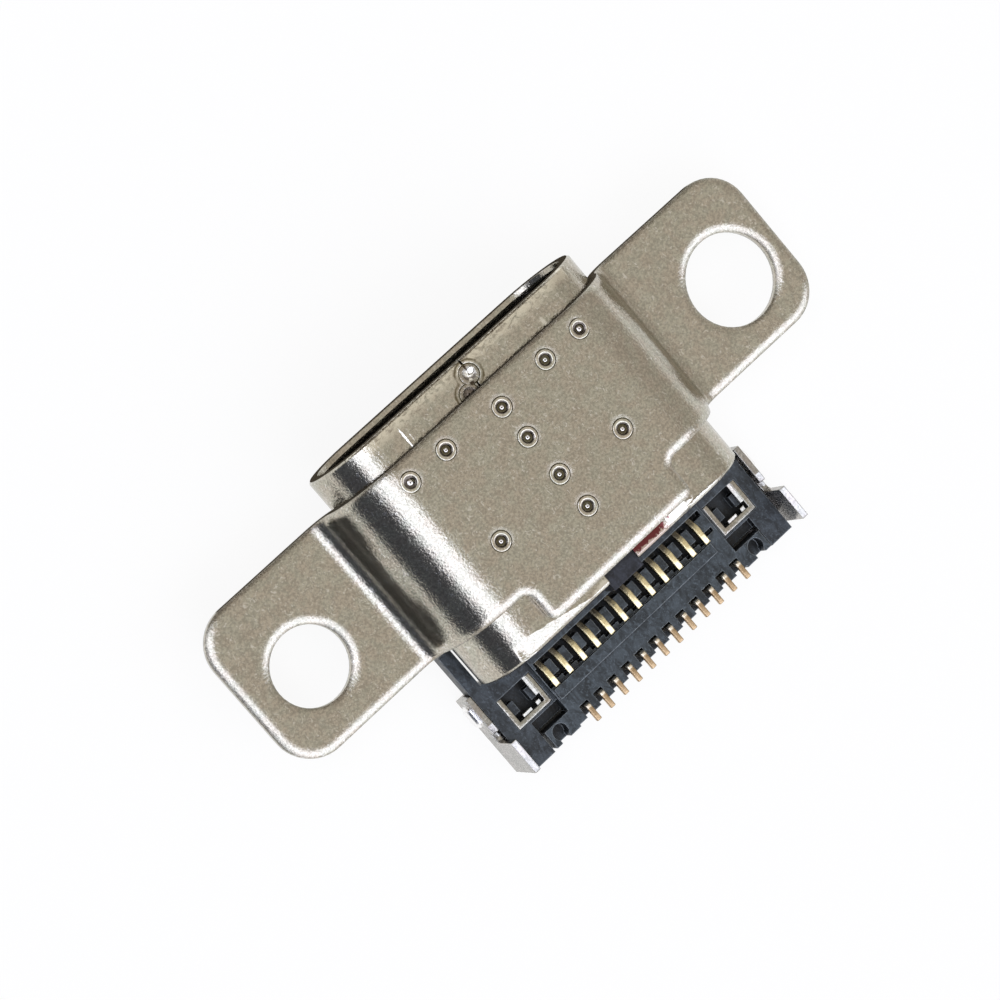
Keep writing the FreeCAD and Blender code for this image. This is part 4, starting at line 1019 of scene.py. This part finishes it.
# Painted shade: the seam welds' bowls and pips are coloured darker.
seam_bowl = seam_steel("seam_weld_bowl_painted_shade", (0.20, 0.175, 0.15), 0.30)
BRIGHT_BEAD = (bead_groove, bead_rim, bead_bowl, bead_pip)
DULL_BEAD = (bead_groove, seam_rim, seam_bowl, seam_bowl)
print("bead finishes", [finish.name for finish in BRIGHT_BEAD])

# %% [markdown]
# A profile can be turned with a Screw modifier, but here each point also has to follow the
# cover: on its rounded side the surface falls away, and the point drops by as much as the round
# does there. So the rings are made point by point and joined with faces. Each face takes the
# finish of its radius.

# %% Turn one bead
COVER_FLAT_MM = 2.89
COVER_ROUND_MM = 1.88


def drop_of_round(x_mm):
    """How far the cover's outer face lies below its flat at x."""
    past = abs(x_mm) - COVER_FLAT_MM
    if past <= 0:
        return 0.0
    return COVER_ROUND_MM - math.sqrt(COVER_ROUND_MM ** 2 - past ** 2)


def cut_off(work, y_mm):
    """Cut the bead along y_mm, keep what lies nearer the mouth and close the cut."""
    geometry = list(work.verts) + list(work.edges) + list(work.faces)
    cut = bmesh.ops.bisect_plane(work, geom=geometry, plane_co=(0, y_mm * MM, 0),
                                 plane_no=(0, 1, 0), clear_outer=True)
    rim = [piece for piece in cut["geom_cut"] if isinstance(piece, bmesh.types.BMEdge)]
    bmesh.ops.contextual_create(work, geom=rim)


def bead(name, x_mm, y_mm, face_mm, finishes, cut_at_mm=None, follows_round=True,
         relief=1.0):
    """One weld pool, turned round its own upright axis; relief under 1 makes it flatter."""
    work = bmesh.new()
    loops = []
    pool = tuple((radius, height_mm * relief) for radius, height_mm in BEAD_PROFILE_MM)
    for radius, height_mm in BEAD_UNDER_MM[1:] + pool + BEAD_UNDER_MM[:1]:
        loop = []
        for step in range(BEAD_SEGMENTS):
            angle = 2 * math.pi * step / BEAD_SEGMENTS
            x = x_mm + radius * math.cos(angle)
            y = y_mm + radius * math.sin(angle)
            drop = drop_of_round(x) if follows_round else 0.0
            loop.append(work.verts.new((x * MM, y * MM, (face_mm + height_mm - drop) * MM)))
        loops.append((radius, loop))
    for (outer, ring), (inner, next_ring) in zip(loops, loops[1:]):
        middle = (outer + inner) / 2
        for step in range(BEAD_SEGMENTS):
            after = (step + 1) % BEAD_SEGMENTS
            face = work.faces.new((ring[step], ring[after], next_ring[after], next_ring[step]))
            face.material_index = sum(middle < start for start in FINISH_STARTS_MM)
            face.smooth = True
    work.faces.new(loops[-1][1]).material_index = len(FINISH_STARTS_MM)
    work.faces.new(list(reversed(loops[0][1])))
    if cut_at_mm is not None:
        cut_off(work, cut_at_mm)
    bmesh.ops.recalc_face_normals(work, faces=work.faces)
    mesh = bpy.data.meshes.new(name)
    work.to_mesh(mesh)
    work.free()
    for finish in finishes:
        mesh.materials.append(finish)
    piece = placed(name, mesh)
    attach(piece, "root")


print("steps round a bead", BEAD_SEGMENTS)

# %% [markdown]
# The cover's ten beads stand where the photograph shows them. The second seam weld lies half
# under the cover's front edge, and is cut off along it.

# %% Set the beads on cover and shell
COVER_TOP_MM = 3.46
COVER_WELDS_MM = (("a", 2.95, -2.00), ("b", 1.73, -2.00), ("c", -0.07, -1.85),
                  ("d", -1.72, -2.00), ("e", -2.92, -2.00), ("f", -0.08, -0.86),
                  ("g", -0.09, 0.37), ("h", -0.11, 1.44), ("i", 2.17, 0.61), ("j", -2.10, 0.61))
SEAM_WELD_RELIEF = 0.45
SEAM_CUT_GAP_MM = 0.005

for letter, x, y in COVER_WELDS_MM:
    bead("cover_weld_bead_" + letter, x, y, COVER_TOP_MM, BRIGHT_BEAD)
for letter, (x, y) in zip("ab", SHELL_WELDS_MM):
    reaches_cover = y + BEAD_PROFILE_MM[0][0] > COVER_FRONT_MM
    cut_at = COVER_FRONT_MM - SEAM_CUT_GAP_MM if reaches_cover else None
    bead("seam_weld_bead_" + letter, x, y, SHELL_TOP_MM, DULL_BEAD, cut_at,
         False, SEAM_WELD_RELIEF)
print("weld beads", len(COVER_WELDS_MM) + len(SHELL_WELDS_MM))
